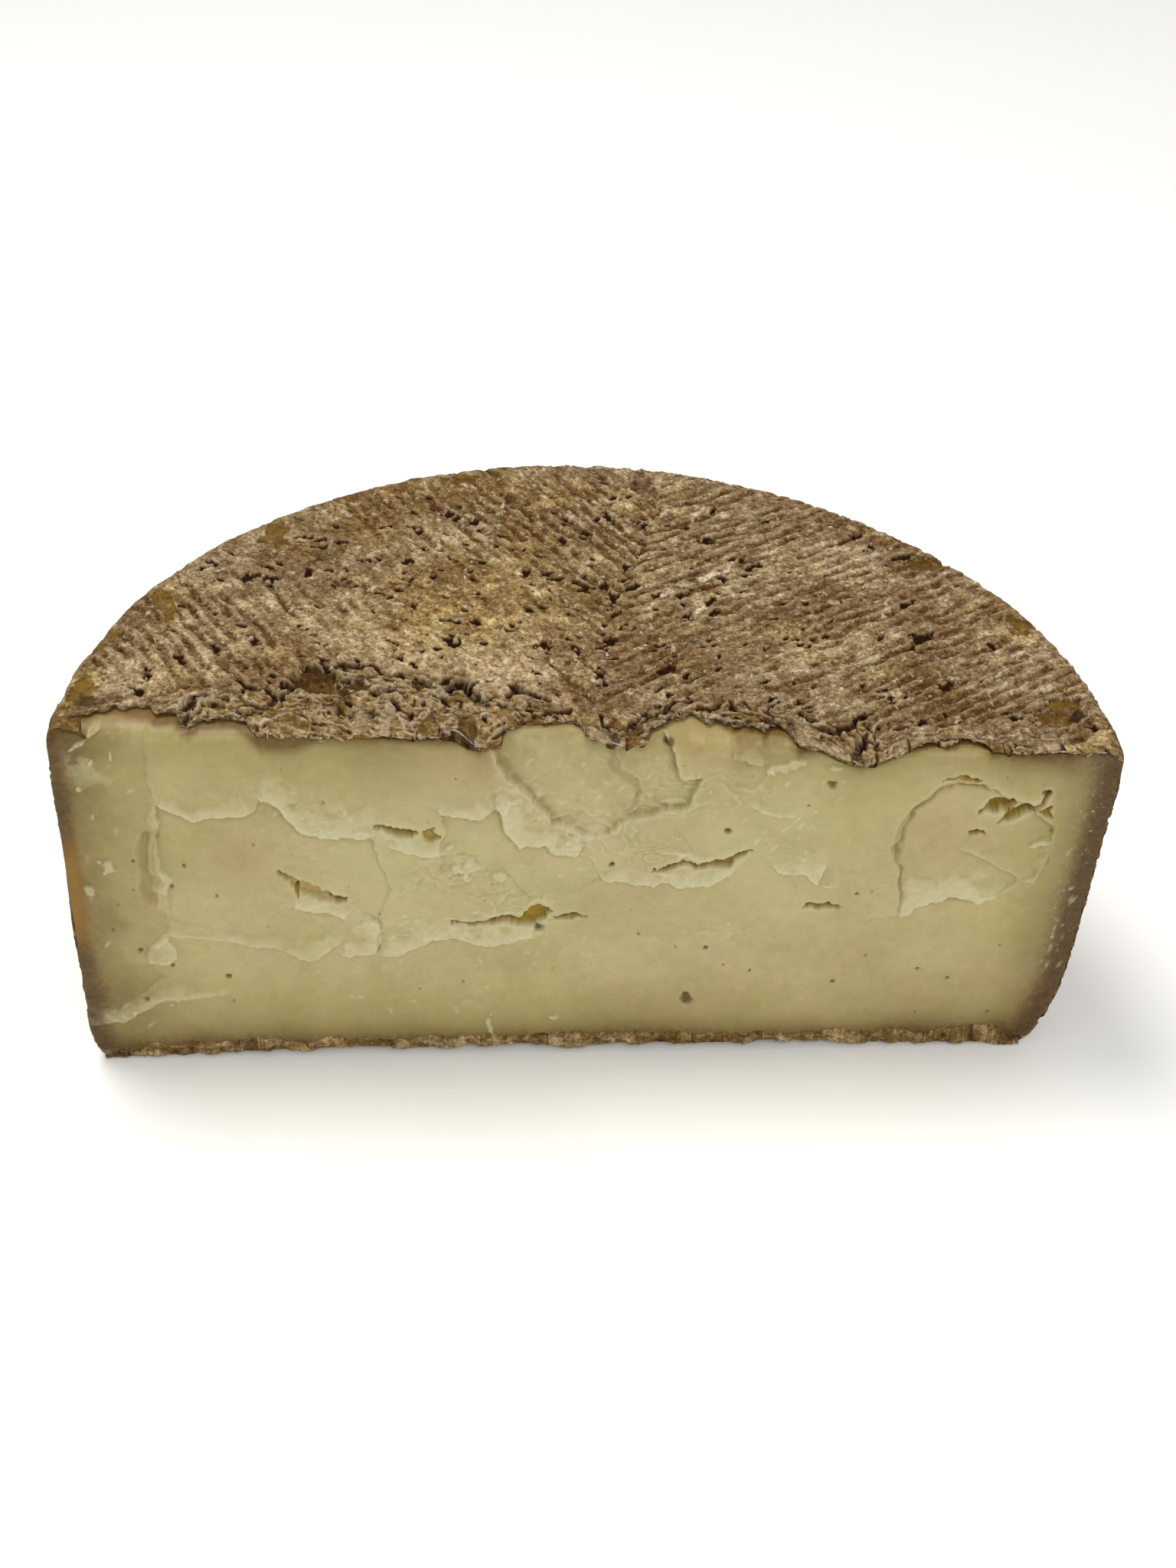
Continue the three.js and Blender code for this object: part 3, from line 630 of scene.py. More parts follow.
def ripeness_and_shade(x, z, back):
    """0 in the middle of the paste and 1 right under the rind, with painted shade added where the
    crust's edge overhangs the ledge and the face; and its amber share.
    """
    wander = 0.18 * rough(x / 16, z / 16, 51, 2)
    # Painted shade: the ledge's bare share is smoothed along x and cut back near x = 40 and x = -86, so
    # the ledge there stays dark as in the crust's shade.
    bare = sum(is_bare(x + step) for step in (-5, -2.5, 0, 2.5, 5)) / 5
    bare = bare * (1 - ease(np.abs(x - 40), 12, 7)) * (1 - 0.6 * ease(np.abs(x + 86), 30, 18))
    edge = along_x(CRUST_EDGE, x) + 0.4 + 9 * bare
    from_top = along_x(TOP_NEARNESS, edge - z)
    from_base = along_x(BASE_NEARNESS, z)
    left = x - wall_x(z, -1)
    from_left = along_x(LEFT_NEARNESS, left * (1 - 0.4 * ease(z, 44, 22)))
    from_right = along_x(RIGHT_NEARNESS, wall_x(z, 1) - x)
    near = -CORNER_SOFT * np.log(
        np.exp(-from_base / CORNER_SOFT) + np.exp(-from_top / CORNER_SOFT)
        + np.exp(-from_left / CORNER_SOFT) + np.exp(-from_right / CORNER_SOFT)
    )
    ragged = 1.3 * rough(x / 5, z / 5, 53, 4) * ease(left, 24, 13) * ease(z, 16, 44)
    near = near * (1 + wander) + ragged
    # Painted shade: the ledge darkens as it nears the crust's front edge, more near x = 39 and x = -84
    # and less near x = 22.
    path = along_x(BARE_EDGE, x) - back + 0.9 * np.clip(top_plane(x) - CRUST_THICK - z, 0, None)
    path = path + 2 * ease(np.abs(x - 22), 8, 4) - 1.8 * ease(np.abs(x - 39), 16, 3)
    path = path - 3 * ease(np.abs(x + 84), 26, 16)
    near = np.minimum(near, 4 + 3 * np.clip(path, 0, None))
    ripe_and_shade = along_x(RIPE_AND_SHADE_BY_DISTANCE, near)
    for at_x, at_z, reach_x, reach_z, strength in RIPE_AND_SHADE_PLACES:
        ripe_and_shade = ripe_and_shade + strength * soft_place(x, z, at_x, at_z, reach_x, reach_z) * (1 - ripe_and_shade)
    strip = ease(inside(x, z, LEFT_STRIP) + wander, -0.4, 0.5)
    ripe_and_shade = ripe_and_shade + strip * STRIP_RIPE * (0.6 + 0.4 * ease(z, 62, 84)) * (1 - ripe_and_shade)
    amber = ease(left, 5.5, 2) * ease(z, 32, 48) * ease(z, 78, 62)
    measures = {"below the crust": edge - z, "height": z, "behind the cut": back}
    for at_x, reach, strength, measure, limits in AMBER_PLACES:
        patch = strength * ease(np.abs(x - at_x), *reach) * ease(measures[measure], *limits)
        amber = np.maximum(amber, patch)
    return ripe_and_shade, amber


SPECK_COUNT = 70
WISP_COUNT = 150
# No speck, wisp or dash reaches farther than this.
MARK_REACH = 4
# Where wisps gather: x, z, spread along x and z, slope in degrees.
WISP_GROUPS = [
    (0, 84, 15, 10, 60), (44, 80, 14, 9, 45), (-8, 32, 10, 10, 50), (-45, 24, 20, 10, -60),
    (-46, 43, 6, 4, 8), (45, 68, 8, 6, 55), (-5, 62, 14, 6, 10), (0, 84, 15, 8, -20),
    (0, 30, 90, 20, 20), (112, 45, 2, 20, 80), (-110, 50, 7, 40, 60), (-64, 76, 12, 4, 60),
]


def specks(x, z):
    """Small dark specks and pinholes, some placed, the rest scattered by chance."""
    chance = np.random.default_rng(5)
    spots = list(SPECKS)
    for _ in range(SPECK_COUNT):
        size = 0.22 + 0.28 * chance.random() ** 2
        spots.append((chance.uniform(-112, 108), chance.uniform(10, 92), size))
    fray = 0.3 * rough(x / 0.9, z / 0.9, 52, 2)
    dark = np.zeros(x.shape)
    for at_x, at_z, size in spots:
        near = close_to(x, z, at_x, at_z, MARK_REACH)
        gap = np.hypot(x[near] - at_x, 1.1 * (z[near] - at_z)) / (0.68 * size) + fray[near]
        dark[near] = np.maximum(dark[near], ease(gap, 1.5, 0.5) * min(1, size / 0.7))
    return dark


def wisps(x, z):
    """Short pale scratches where crumbs of paste dragged under the knife."""
    chance = np.random.default_rng(6)
    pale = np.zeros(x.shape)
    for count in range(WISP_COUNT):
        at_x, at_z, spread_x, spread_z, slope = WISP_GROUPS[count % len(WISP_GROUPS)]
        at_x += spread_x * chance.uniform(-1, 1)
        at_z += spread_z * chance.uniform(-1, 1)
        turn = math.radians(slope + chance.uniform(-25, 25))
        half = chance.uniform(0.3, 1.7)
        bright = chance.uniform(0.15, 0.6)
        near = close_to(x, z, at_x, at_z, MARK_REACH)
        u, v = turned(x[near], z[near], at_x, at_z, turn)
        wisp = ease(np.hypot(u / half, (v + 0.06 * u**2) / 0.42), 1.4, 0.4) * bright
        pale[near] = np.maximum(pale[near], wisp)
    return pale


probe = ripeness_and_shade(np.array([-40.0, 0.0]), np.array([99.0, 50.0]), 0)
print("ripeness under the top and in the middle:", probe[0])


# %% Depth and marks of the cut face
def lip_skin(u, v, edge, rise_left, rise_right, seed):
    """How much of the torn skin above a lip is here, 1 at its edge."""
    gap, share = to_line(u, v, edge)
    ends = ease(share, 0, 0.05) * ease(share, 1, 0.95)
    rise = blend(rise_left, rise_right, share) * (1 + 0.5 * rough(u / 3, v / 3, seed, 2))
    fade = np.clip(1 - gap / np.maximum(rise, 0.5), 0, 1)
    return fade * ease(gap, -0.16, 0.2) * (0.25 + 0.75 * ends)


def cut_face(x, z):
    """How far the face lies behind the cut, and its marks."""
    fray_x, fray_z = pushed(x, z, 0.75, 4.2, 31, 4)
    depth = 0.5 * unevenness(x / 34, z / 26, SEED + 2) + 0.25 * unevenness(x / 13, z / 11, SEED + 3)
    torn = np.zeros(x.shape)
    slot = np.zeros(x.shape)
    shade = np.zeros(x.shape)
    scratched = np.zeros(x.shape)
    for outline, deep_top, deep_bottom, scratches in BREAKS:
        heights = [point[1] for point in outline]
        gap = inside(fray_x, fray_z, outline)
        share = np.clip((z - min(heights)) / (max(heights) - min(heights)), 0, 1)
        sunk = ease(gap, -0.2, 0.32)
        depth += blend(deep_bottom, deep_top, share) * sunk
        scratched = np.maximum(scratched, sunk * scratches)
    for count, (edge, rise_left, rise_right, out, pale) in enumerate(LIPS):
        skin = lip_skin(fray_x, fray_z, edge, rise_left, rise_right, 33 + count)
        depth -= out * skin
        torn = np.maximum(torn, pale * skin**0.8)
    for line, wide, deep in GUTTERS:
        gap, share = to_line(fray_x, fray_z, line)
        ends = ease(share, 0, 0.1) * ease(share, 1, 0.9)
        depth += deep * ease(np.abs(gap), 0.5 * wide, 0) * ends
    slot_x = fray_x + 0.4 * rough(x / 1.6, z / 1.6, 36, 2)
    slot_z = fray_z + 0.4 * rough(x / 1.6, z / 1.6, 37, 2)
    for outline, deep, ochre in SLOTS:
        opening = ease(inside(slot_x, slot_z, outline), -0.3, 0.15)
        under_roof = 1 - ease(inside(slot_x, slot_z + 0.8, outline), -0.5, 0.2)
        under_roof = under_roof * (0.3 + 0.7 * ochre)
        depth += deep * opening * (0.55 + 0.45 * under_roof)
        slot = np.maximum(slot, (0.35 + 0.65 * ochre) * opening)
        shade = np.maximum(shade, opening * under_roof)
    for at_x, at_z, long, wide, turn in CHIPS:
        chip = blob(x, z, at_x, at_z, long, wide, turn, 0.8 * rough(x / 1.9, z / 1.9, 35, 3))
        depth -= 0.7 * chip
        torn = np.maximum(torn, 0.5 * chip)
    return depth, torn * (1 - slot), slot, shade, scratched


probe = cut_face(np.array([-5.0, 60.0]), np.array([85.0, 30.0]))
print("depth in the scoop and on the sound face:", probe[0])

# %% [markdown]
# The paste is a slab behind the cut face. Its grid runs up the face and then bends back over
# the top edge, so that the paste shows as a bare ledge where the crust tore away. On top of
# the sketched marks come finer ones: thin steps where layers parted in the middle of the face,
# scratches in the scoop, wisps, specks and a slow drag of the knife.

# %% Shape of the paste
PASTE_FOOT = 3.0
PASTE_ENDS = (-120, 118)
# The slab's back: how far behind the cut it is, how much narrower, and from where to where.
PASTE_BACK = 14.0
PASTE_BACK_SHARE = 0.96
PASTE_BACK_HEIGHTS = (4, 88)
LEDGE_REACH = 11
EDGE_ROUND = 0.6
EDGE_WORN = 0.26
PASTE_COLUMNS = 392
PASTE_ROWS = 230


def layer_steps(x, z):
    """Thin steps where layers of paste parted, mostly across the middle of the face."""
    belt = ease(z, 30, 46) * ease(z, 96, 80) * ease(np.abs(x + 2), 76, 50)
    patch = ease(unevenness(x / 17 + 2, z / 12, 61), -0.1, 0.45) * belt
    saw, raised = shingles(2.6 * rough(x / 15, z / 9, 62, 4), 0.16)
    return 0.45 * saw * patch, patch * raised, belt


def paste_shape(start, end):
    def shape(share, up):
        across = blend(start, end, share)
        reach = np.full(across.shape, -1.0)
        middle_x = blend(*PASTE_ENDS, across)
        ledge_z = top_surface(middle_x, 3) - CRUST_THICK - front_sag(middle_x, 1)
        bend = EDGE_ROUND + EDGE_WORN * along_x(BARE_EDGE, middle_x)
        rise = up * (ledge_z - PASTE_FOOT + LEDGE_REACH) - (ledge_z - PASTE_FOOT)
        z = ledge_z - bend * np.logaddexp(0, -rise / bend)
        back = bend * np.logaddexp(0, rise / bend)
        narrow = np.sqrt(1 - (back / BASE_RADIUS) ** 2)
        x = blend(wall_x(z, reach) * narrow + 0.5, wall_x(z, -reach) * narrow - 0.5, across)
        depth, torn, slot, shade, scratched = cut_face(x, z)
        steps, step_edge, belt = layer_steps(x, z)
        from_left = x - wall_x(z, reach)
        from_right = wall_x(z, -reach) - x
        frost = ease(np.abs(from_right - 5), 5, 1) * ease(z, 8, 30)
        frost = frost * ease(rough(x / 0.7, z / 0.7, 67, 2), 0.8, 1.15)
        haze = ease(np.abs(from_right - 8), 5, 1) * ease(z, 6, 30)
        scratch = rough((x + 0.5 * z) / 1.6, (z - 0.5 * x) / 9, 63, 2)
        grain = rough(x / 1.9, z / 1.5, 64, 3)
        depth -= steps
        depth += 0.12 * scratched * scratch + (0.05 + 0.12 * torn + 0.02 * scratched) * grain
        depth += 0.7 * scratched * shingles(1.1 * rough(x / 12, z / 14, 65, 3), 0.3)[0]
        depth = depth * ease(from_left, 0.5, 4) * ease(from_right, 0.5, 4)
        dark = specks(x, z)
        pale = wisps(x, z)
        depth += 0.7 * dark - 0.25 * pale
        on_face = ease(back, 2.2 + 2 * bend, 0.4)
        y = back + depth * on_face
        z = z + (1 - on_face) * (0.08 * rough(x / 6, back / 3, 66, 3) - 0.12)
        z = z - (1 - on_face) * np.clip(front_sag(x, back) - front_sag(middle_x, 1), 0, None)
        ripe_and_shade, amber = ripeness_and_shade(x, z, back)
        # Painted shade: the ledge darkens as it bends back in under the crust.
        ripe_and_shade = np.maximum(ripe_and_shade, 0.5 * ease(back, 0.2, 1.8))
        from_left = x - wall_x(z, reach)
        smears = ease(from_left, 22, 12) * ease(z, 80, 94)
        smears = smears * ease(rough(x / 5, z / 4, 68, 4), 0.12, 0.4) * ease(from_left, 2, 6)
        # Painted reflection: a faint pale patch on the bare ledge near the left end stands in for the
        # light from above mirrored there; it is added to the chalky mark "torn".
        painted_reflection = 0.05 * ease(np.abs(x + 101.4), 4, 3) * ease(z, 93, 96) * ease(back, 6, 3)
        chalky = 0.88 * torn + 0.45 * step_edge + 0.12 * belt * (1 - scratched) + 0.7 * frost
        chalky = chalky + 0.1 * haze + 0.4 * smears + pale + painted_reflection
        marks = {
            "torn": np.clip(chalky, 0, 1) * np.maximum(on_face, painted_reflection),
            "slot": slot,
            "shade": shade,
            "speck": dark,
            "ripe_and_shade": ripe_and_shade,
            "amber": amber,
            "scratched": scratched * on_face,
        }
        return np.stack([x, y, z], axis=1), -depth * on_face, marks

    return shape


def paste_tuck(was):
    x, _, z = was.T
    back = np.full(len(was), PASTE_BACK)
    return np.stack([x * PASTE_BACK_SHARE, back, np.clip(z, *PASTE_BACK_HEIGHTS)], axis=1)


PASTE_SPLIT = 0.5
paste_left = grid_piece(
    "paste_left", PASTE_COLUMNS, PASTE_ROWS, paste_shape(0, PASTE_SPLIT), [paste_tuck]
)
paste_right = grid_piece(
    "paste_right", PASTE_COLUMNS, PASTE_ROWS, paste_shape(PASTE_SPLIT, 1), [paste_tuck]
)

# %% [markdown]
# ## The crust on top
#
# The wheel drained on a ribbed board, turned a quarter each time, which pressed four fans of
# grooves that meet in a cross of chevrons. Mites and drying then ate pits and flakes. Near the
# cut the crust cracked along a wandering line, and the strip in front of it sank and crumbled.

# %% The board's grooves
MARK_CENTRE = (-2, -1)
MARK_TURN = math.radians(-11.5)
GROOVE_PITCH = 3.4
GROOVE_DEPTH = 0.55
# Places where the grooves are well kept: x, y, reach along x and y, strength.
KEPT_PLACES = [
    (-92, 36, 26, 24, 0.8), (90, 18, 34, 17, 0.9), (74, 58, 30, 18, 0.55), (-22, 90, 30, 22, 0.5),
    (10, 66, 16, 34, 0.75), (42, 94, 34, 20, 0.5), (20, 24, 22, 9, 0.4), (-36, 38, 32, 20, -0.5),
    (-60, 76, 18, 12, -0.4), (42, 44, 14, 10, -0.25),
]


def gathered(x, y, places):
    """Soft round places added up."""
    total = np.zeros(x.shape)
    for at_x, at_y, reach_x, reach_y, strength in places:
        total += strength * soft_place(x, y, at_x, at_y, reach_x, reach_y)
    return total


def board_place(x, y):
    """Distance along the board's grooves, number of grooves across them, and which fan it is."""
    p, q = turned(*pushed(x, y, 0.6, 8, 71, 3), *MARK_CENTRE, MARK_TURN)
    along = (np.abs(p) + np.abs(q)) / math.sqrt(2)
    across = (np.abs(p) - np.abs(q)) / math.sqrt(2) / GROOVE_PITCH
    return along, across, 10 * np.sign(p) + 20 * np.sign(q)


def board_marks(x, y):
    """How strongly a groove of the board is pressed in, from 0 to 1."""
    along, across, fan = board_place(x, y)
    lane = np.round(across)
    middle = lane + 0.25 * unevenness(along / 7, lane * 1.7 + fan, 73)
    frayed = np.abs(across - middle) + 0.12 * rough(x / 1.8, y / 1.8, 76, 2)
    kept = 0.25 + 0.75 * unevenness(along / 6, lane * 3.7 + fan, 74)
    kept += gathered(x, y, KEPT_PLACES)
    return ease(frayed, 0.42, 0.1) * np.clip(kept, 0.0, 1)


probe = board_marks(np.array([60.0, 61.5]), np.array([30.0, 30.0]))
print("groove at its middle and beside it:", probe)

# %% [markdown]
# Pits, holes and cracks are soft-edged blobs and lines, frayed by noise until they look eaten.
# Pits, cracks and the black holes are also painted dark, as the shade inside them.
# The biggest are listed, the small ones are placed by chance, crowded round the board's mark.

# %% Pits, holes and cracks
# The cave behind the left of the cut, where the crust fell in. Its back edge, under the
# overhanging crust, is painted dark as the overhang's shadow.
CAVE = [
    (-68.6, 17), (-68.4, 22), (-66, 25), (-62, 26.5), (-58.5, 24), (-58, 18), (-59, 14.6),
    (-62.6, 14), (-66, 15.4),
]
CAVE_DEEP = 3.4
# Each hollow: x, y, length, width, turn, depth, how amber it is, and how black it is painted
# as the shade inside it.
HOLLOWS = [
    (-115.4, 14.6, 13, 6.4, 83, 0.9, 1, 0), (-113, 34, 13, 5.6, 72, 0.9, 1, 0),
    (-101.6, 50, 15, 4.8, -70, 0.9, 1, 0), (-78, 81.6, 13, 6.4, -75, 1.2, 1, 0),
    (-57, 84, 13, 7, 80, 0.4, 0.45, 0), (-32, 109.6, 10, 6, 0, 1.1, 1, 0),
    (84.4, 75, 14, 6.4, 14, 1.9, 1, 0), (79.6, 77.4, 7, 2.2, 28, 1.4, 0.2, 0.85),
    (105, 48, 6.6, 6, 0, 1.2, 1, 0), (105.4, 12.4, 14, 8.6, 48, 1.9, 1, 0),
    (101.4, 5.4, 5.4, 2.4, 22, 1, 0.4, 0.75), (111.2, 13.4, 4, 2.4, 80, 1, 0, 0.8),
    (79.6, 85.4, 6, 3, 25, 0.9, 0.7, 0.1), (-19, 98, 8.4, 4.4, -60, 1.2, 0.5, 0.35),
    (-31, 18.6, 5, 2.8, 20, 4.4, 0, 1), (-33.4, 20.6, 3.4, 1.4, 40, 3, 0, 1),
    (-28.2, 16.6, 1.2, 3.4, 10, 3, 0, 1), (-27, 19.4, 3, 0.9, 30, 1.6, 0, 1),
    (-55.4, 17.2, 7, 4.6, 20, 1.8, 1, 0.3),
    (-51.4, 7.4, 6, 3.6, 20, 2.4, 0.5, 1), (-28, 4.6, 3.6, 5, 0, 1.4, 0.8, 0.25),
    (-112.2, 10.2, 3.4, 4, 60, 1.1, 0.5, 0.6), (-64.4, 72.6, 7, 6, 0, 0.6, 0, 0.3),
    (-60, 59.4, 6, 3.4, -20, 0.7, 0, 0.5), (16, 107, 8, 5, -60, 0.9, 0.2, 0.4),
    (7, 108, 9, 3, -60, 0.8, 0.1, 0.4), (-84, 86, 4, 3, 0, 0.6, 0.6, 0),
    (62, 100, 7, 3, -30, 0.5, 0.6, 0),
    (109, 3.4, 5, 2.4, 30, 0.8, 0.3, 0.5), (9, 4.4, 6, 4, 20, 1.2, 0.35, 0.5),
    (-116.6, -1.6, 9, 6, 80, 0.3, 0.8, 0),
]
CRACKS = [
    [(-80, 18.6), (-77, 17.4), (-73.6, 16.6), (-72, 13.6), (-73.6, 10.6), (-75.4, 7)],
    [(-73.6, 9.6), (-70.6, 13), (-67.6, 16.6), (-69, 18.6)],
    [(-80.6, 10.4), (-77.6, 10.8), (-74, 10)],
    [(-57, 21.4), (-54.6, 20.8), (-55.6, 19.4)],
    [(-53, 17.4), (-50.4, 16.2), (-47.6, 16.4), (-45.8, 18.4)],
    [(-58, 27), (-52, 25.4), (-48, 24.6), (-46.4, 22.4), (-42, 22.6), (-38, 21), (-36.6, 19.8)],
    [(-28.4, 20), (-27.4, 15.4), (-25.6, 13.2), (-23, 15.6)],
    [(-34.6, 14.4), (-32.4, 12.6), (-31, 10.4), (-29.6, 11.6)],
    [(-60, 10), (-57, 9), (-55.4, 7.6), (-56.4, 5)],
    [(-19.4, 18.4), (-16, 16.4), (-12.6, 14.6)],
    [(-11, 14), (-9, 12.4)],
    [(-8.6, 9), (-5, 9.4)],
    [(-45, 12), (-43.6, 8), (-41, 4.4), (-42, 6.4)],
    [(-92, 8.6), (-88, 12.8), (-83, 12.6)],
    [(-85.6, 9.2), (-82.6, 9.6)],
    [(-91, 3), (-89.4, 6.4), (-90, 8.8)],
    [(2, 7.6), (2.6, 3), (5, 3)],
    [(7, 5), (9, 6), (12.6, 7.4), (14.6, 8.8)],
    [(17, 11), (19.6, 13.4), (23, 14.4)],
    [(24.6, 11.8), (26.6, 13), (28.4, 14)],
    [(31.6, 14.2), (32.6, 12.6)],
    [(35, 15), (36.6, 12.8), (38.4, 11.6), (40.4, 12.8), (42.6, 14)],
    [(47, 11.4), (49.4, 9.8), (51.4, 9.4)],
    [(50.8, 5.4), (54, 6.8), (57.6, 8.4), (60.4, 10), (62.4, 12)],
    [(57, 1), (60, 3), (62, 6)],
    [(68, 6.6), (70.6, 8.4)],
    [(78, 2), (81, 3.4)],
]
CRACK_WIDE = 0.62
CRACK_DEEP = 1.3
# Each fold of torn crust: front edge from left to right, how far it reaches back, how high.
FOLDS = [
    ([(-90.4, 3), (-89, 6), (-88, 9), (-84, 10), (-82.4, 10)], 3.4, 1.5),
    ([(-97.6, 6.4), (-93, 8.6), (-91, 10), (-88.6, 12.6)], 3, 0.8),
    ([(-86.4, 5.2), (-82, 5), (-79, 4.6), (-76, 3)], 3, 0.5),
    ([(-76, 5), (-73, 2), (-70, 4), (-67, 7), (-64, 4), (-61, 8), (-58, 8.6)], 4.4, 1.1),
    ([(-68, 12), (-65, 14.6), (-62, 10)], 3.4, 0.9),
    ([(-54, 14.6), (-50, 14.6), (-46, 12.6)], 1.8, 1.1),
    ([(-57, 20.6), (-52, 17.8), (-48, 18.6)], 5, 0.9),
    ([(-48, 10), (-43.4, 6.6), (-40.6, 3.2), (-37.6, 5), (-36, 9)], 5, 1.0),
    ([(-36, 2.4), (-33, 1.4), (-30, 3), (-29.4, 7)], 4, 0.9),
    ([(12.6, 3.6), (16, 6.4), (20, 9.6), (23, 11)], 2.2, 0.7),
    ([(25.4, 7.4), (28, 8.8), (31.4, 6.6), (34, 7.6)], 5, 0.8),
    ([(34.6, 7.2), (38, 5.2), (42, 7), (46, 9.4)], 5, 0.9),
    ([(44, 2), (47, 1.6), (49.4, 3.4)], 2.4, 0.7),
    ([(53, 4), (57, 5.4), (62, 5), (66, 9)], 4, 0.8),
    ([(70, 5), (75, 4), (82, 6.4), (90, 3.8), (98, 5.8), (106, 3.4)], 3.4, 0.45),
]
# The pits that catch the eye: x, y, length, width, turn in degrees.
PITS = [
    (-82, 62, 5, 3.4, 60), (-77, 61, 3.4, 3, 0), (-70, 80, 4, 1.8, 10), (-66, 79, 3, 1.6, 0),
    (-44, 70, 3, 2.4, 40), (-43, 62, 3, 1.4, 0), (-37, 63, 3, 1.4, 10), (-32.4, 35.6, 6, 3.4, -40),
    (-33, 44, 5, 1.6, -10), (-28, 88, 4, 3.6, 30), (-21, 82, 3, 2, 0), (-17, 76, 3, 1.8, 0),
    (-23, 77, 2.4, 2, 0), (-33, 90, 3, 2, 0), (-15, 65, 4, 2.4, 70), (-10, 65, 3, 1.6, 20),
    (-8, 63, 4, 1.8, 10), (-1, 59, 3.4, 2.4, 80), (4, 60, 2, 3, 0), (11, 60, 4.4, 3.4, 30),
    (6, 55, 3, 4.4, 0), (4.4, 36, 3.4, 5, -30), (10, 69, 3, 2, 0), (30, 82, 5, 3, 20),
    (15, 89, 2, 4, 0), (25, 88, 3, 1.6, 30), (36, 74, 3, 1.4, 36), (33, 65, 2.6, 2, 0),
    (42, 71, 6, 2, 36), (47, 93, 3, 2, 0), (-78, 34.4, 6, 2, -50), (-87, 32, 4, 1.4, -60),
    (-101, 21, 2, 5, 14), (-102, 14, 2, 3, 30), (-95, 28, 2, 2, 0), (2, 24, 2.4, 5, 0),
    (3, 20, 2, 2, 0), (78, 57, 4, 1.6, 30), (72, 82, 4, 2, 30), (70, 87, 4, 1.8, 20),
    (80, 43, 6, 2, 36), (76, 38, 4, 2, 50), (96, 40, 4, 1.4, -30), (82, 24, 5, 2.4, 40),
    (-11, 35, 5, 3, 0), (30, 56, 1.8, 5, -30), (18, 27, 5, 2, 40), (-99, 38, 4, 1.4, 30),
    (-35, 92, 3, 3, 0), (-66, 76, 5, 1.4, 0), (-61, 78, 3, 1.4, 0), (-50, 86, 3, 1.2, 20),
    (-42, 84, 2, 2.4, 0), (-68, 64, 2, 3, 0), (-92, 67, 3, 3, 0), (-94, 65, 3, 2, 30),
    (6, 92, 2, 5, 20), (0, 84, 3, 3, 0), (-6, 80, 2, 3, 0), (96.4, 11.6, 3, 1.6, 0),
    (95, 13.6, 2, 2, 0),
    (81, 13, 2, 1.4, 0), (113.6, 8, 3, 1.8, 10), (112.4, 24, 1.6, 1.6, 0), (63, 23.6, 1.6, 1.4, 0),
]
SMALL_PITS = 290
# No pit reaches farther than this.
PIT_REACH = 8
# White mould along the ridges: from, to, strength.
BLOOM = [
    ((17.6, 57), (21.6, 60), 0.9), ((22.6, 61), (26.6, 63.2), 0.7), ((27.6, 64), (30, 65.4), 1),
    ((30.6, 66.2), (34.6, 68.8), 1), ((25.6, 50), (28, 52), 1), ((35, 63), (39.6, 66.6), 0.4),
    ((20, 95), (23.4, 98), 0.6), ((28, 95), (31.4, 98), 0.5), ((45, 77), (48, 79), 0.5),
    ((-14, 59.4), (-11.8, 55.6), 0.8), ((0, 99), (2, 96), 0.4), ((-4, 92), (-1, 88), 0.5),
    ((66, 33), (68, 34), 0.5), ((-47.6, 51.8), (-45, 51), 0.7), ((-34, 58.4), (-32, 57.4), 0.5),
    ((-63, 94), (-60, 90.4), 0.5), ((59, 56.6), (61, 57), 0.6), ((100, 36), (103, 37.4), 0.5),
    ((83, 11), (84, 11.6), 0.8), ((70, 77), (76, 80), 0.4), ((52, 33), (56, 36), 0.4),
]
BLOOM_DASHES = 190
# Paler and darker places: x, y, reach along x and y, strength. The darkest entries lie on the
# cave and on two amber hollows and darken them towards brown, partly as painted shade inside them.
TONES = [
    (-36, 36, 26, 13, 0.8), (-104, 20, 13, 10, 1.0), (62, 74, 14, 8, 1.2), (54, 35, 15, 9, 0.8),
    (0, 62, 9, 26, -0.6), (2, 100, 16, 10, 0.35), (78, 24, 14, 10, -0.2), (101, 30, 9, 8, 0.6),
    (-84, 9, 9, 4, 0.6), (-70, 70, 16, 12, -0.35), (38, 94, 34, 12, -0.1), (28, 36, 20, 14, -0.6),
    (-60, 64, 12, 10, -0.4), (-40, 93, 14, 8, -0.45), (60, 89, 12, 8, -0.6), (-90, 32, 12, 9, 0.4),
    (70, 58, 24, 8, -0.3), (-20, 22, 14, 8, 0.6), (-80, 18, 8, 7, -0.2),
    (112, 6, 8, 8, 0.5), (-48, 8, 22, 7, -0.15), (30, 98, 16, 6, 0.2), (-85, 45, 14, 12, 0.25),
    (8, 72, 8, 22, 0.25), (30, 22, 26, 10, -0.2), (-62, 56, 6, 6, -0.6), (-26, 80, 14, 5, 0.35),
    (-42, 24, 12, 4, -0.5), (2, 40, 8, 14, -0.4), (60, 4, 8, 6, -0.6), (-100, 58, 8, 5, 0.5),
    (38, 62, 8, 8, 0.5), (84, 75.6, 8, 5, -1.9), (105.4, 12.4, 9, 6, -0.8), (-113, 34, 6, 6, -0.4),
    (-62, 20, 8, 7, -2), (-46, 7, 12, 5, -0.5), (-58, 84, 8, 5, -0.3),
]
# Places with a warm, olive cast: x, y, reach along x and y, strength.
OLIVES = [
    (-38, 46, 34, 22, 0.5), (-16, 62, 22, 26, 0.6), (10, 50, 18, 26, 0.35), (-56, 84, 14, 14, 0.5),
    (6, 0, 10, 7, 0.6), (-60, 10, 14, 8, 0.35), (42, 40, 20, 12, 0.3), (-30, 104, 26, 9, 0.35),
    (54, 0, 7, 6, 0.8), (66, 0, 4, 4, 0.8), (-12, 5, 10, 4, 0.5), (92, 50, 14, 12, 0.2),
    (14, 100, 20, 10, 0.3),
]


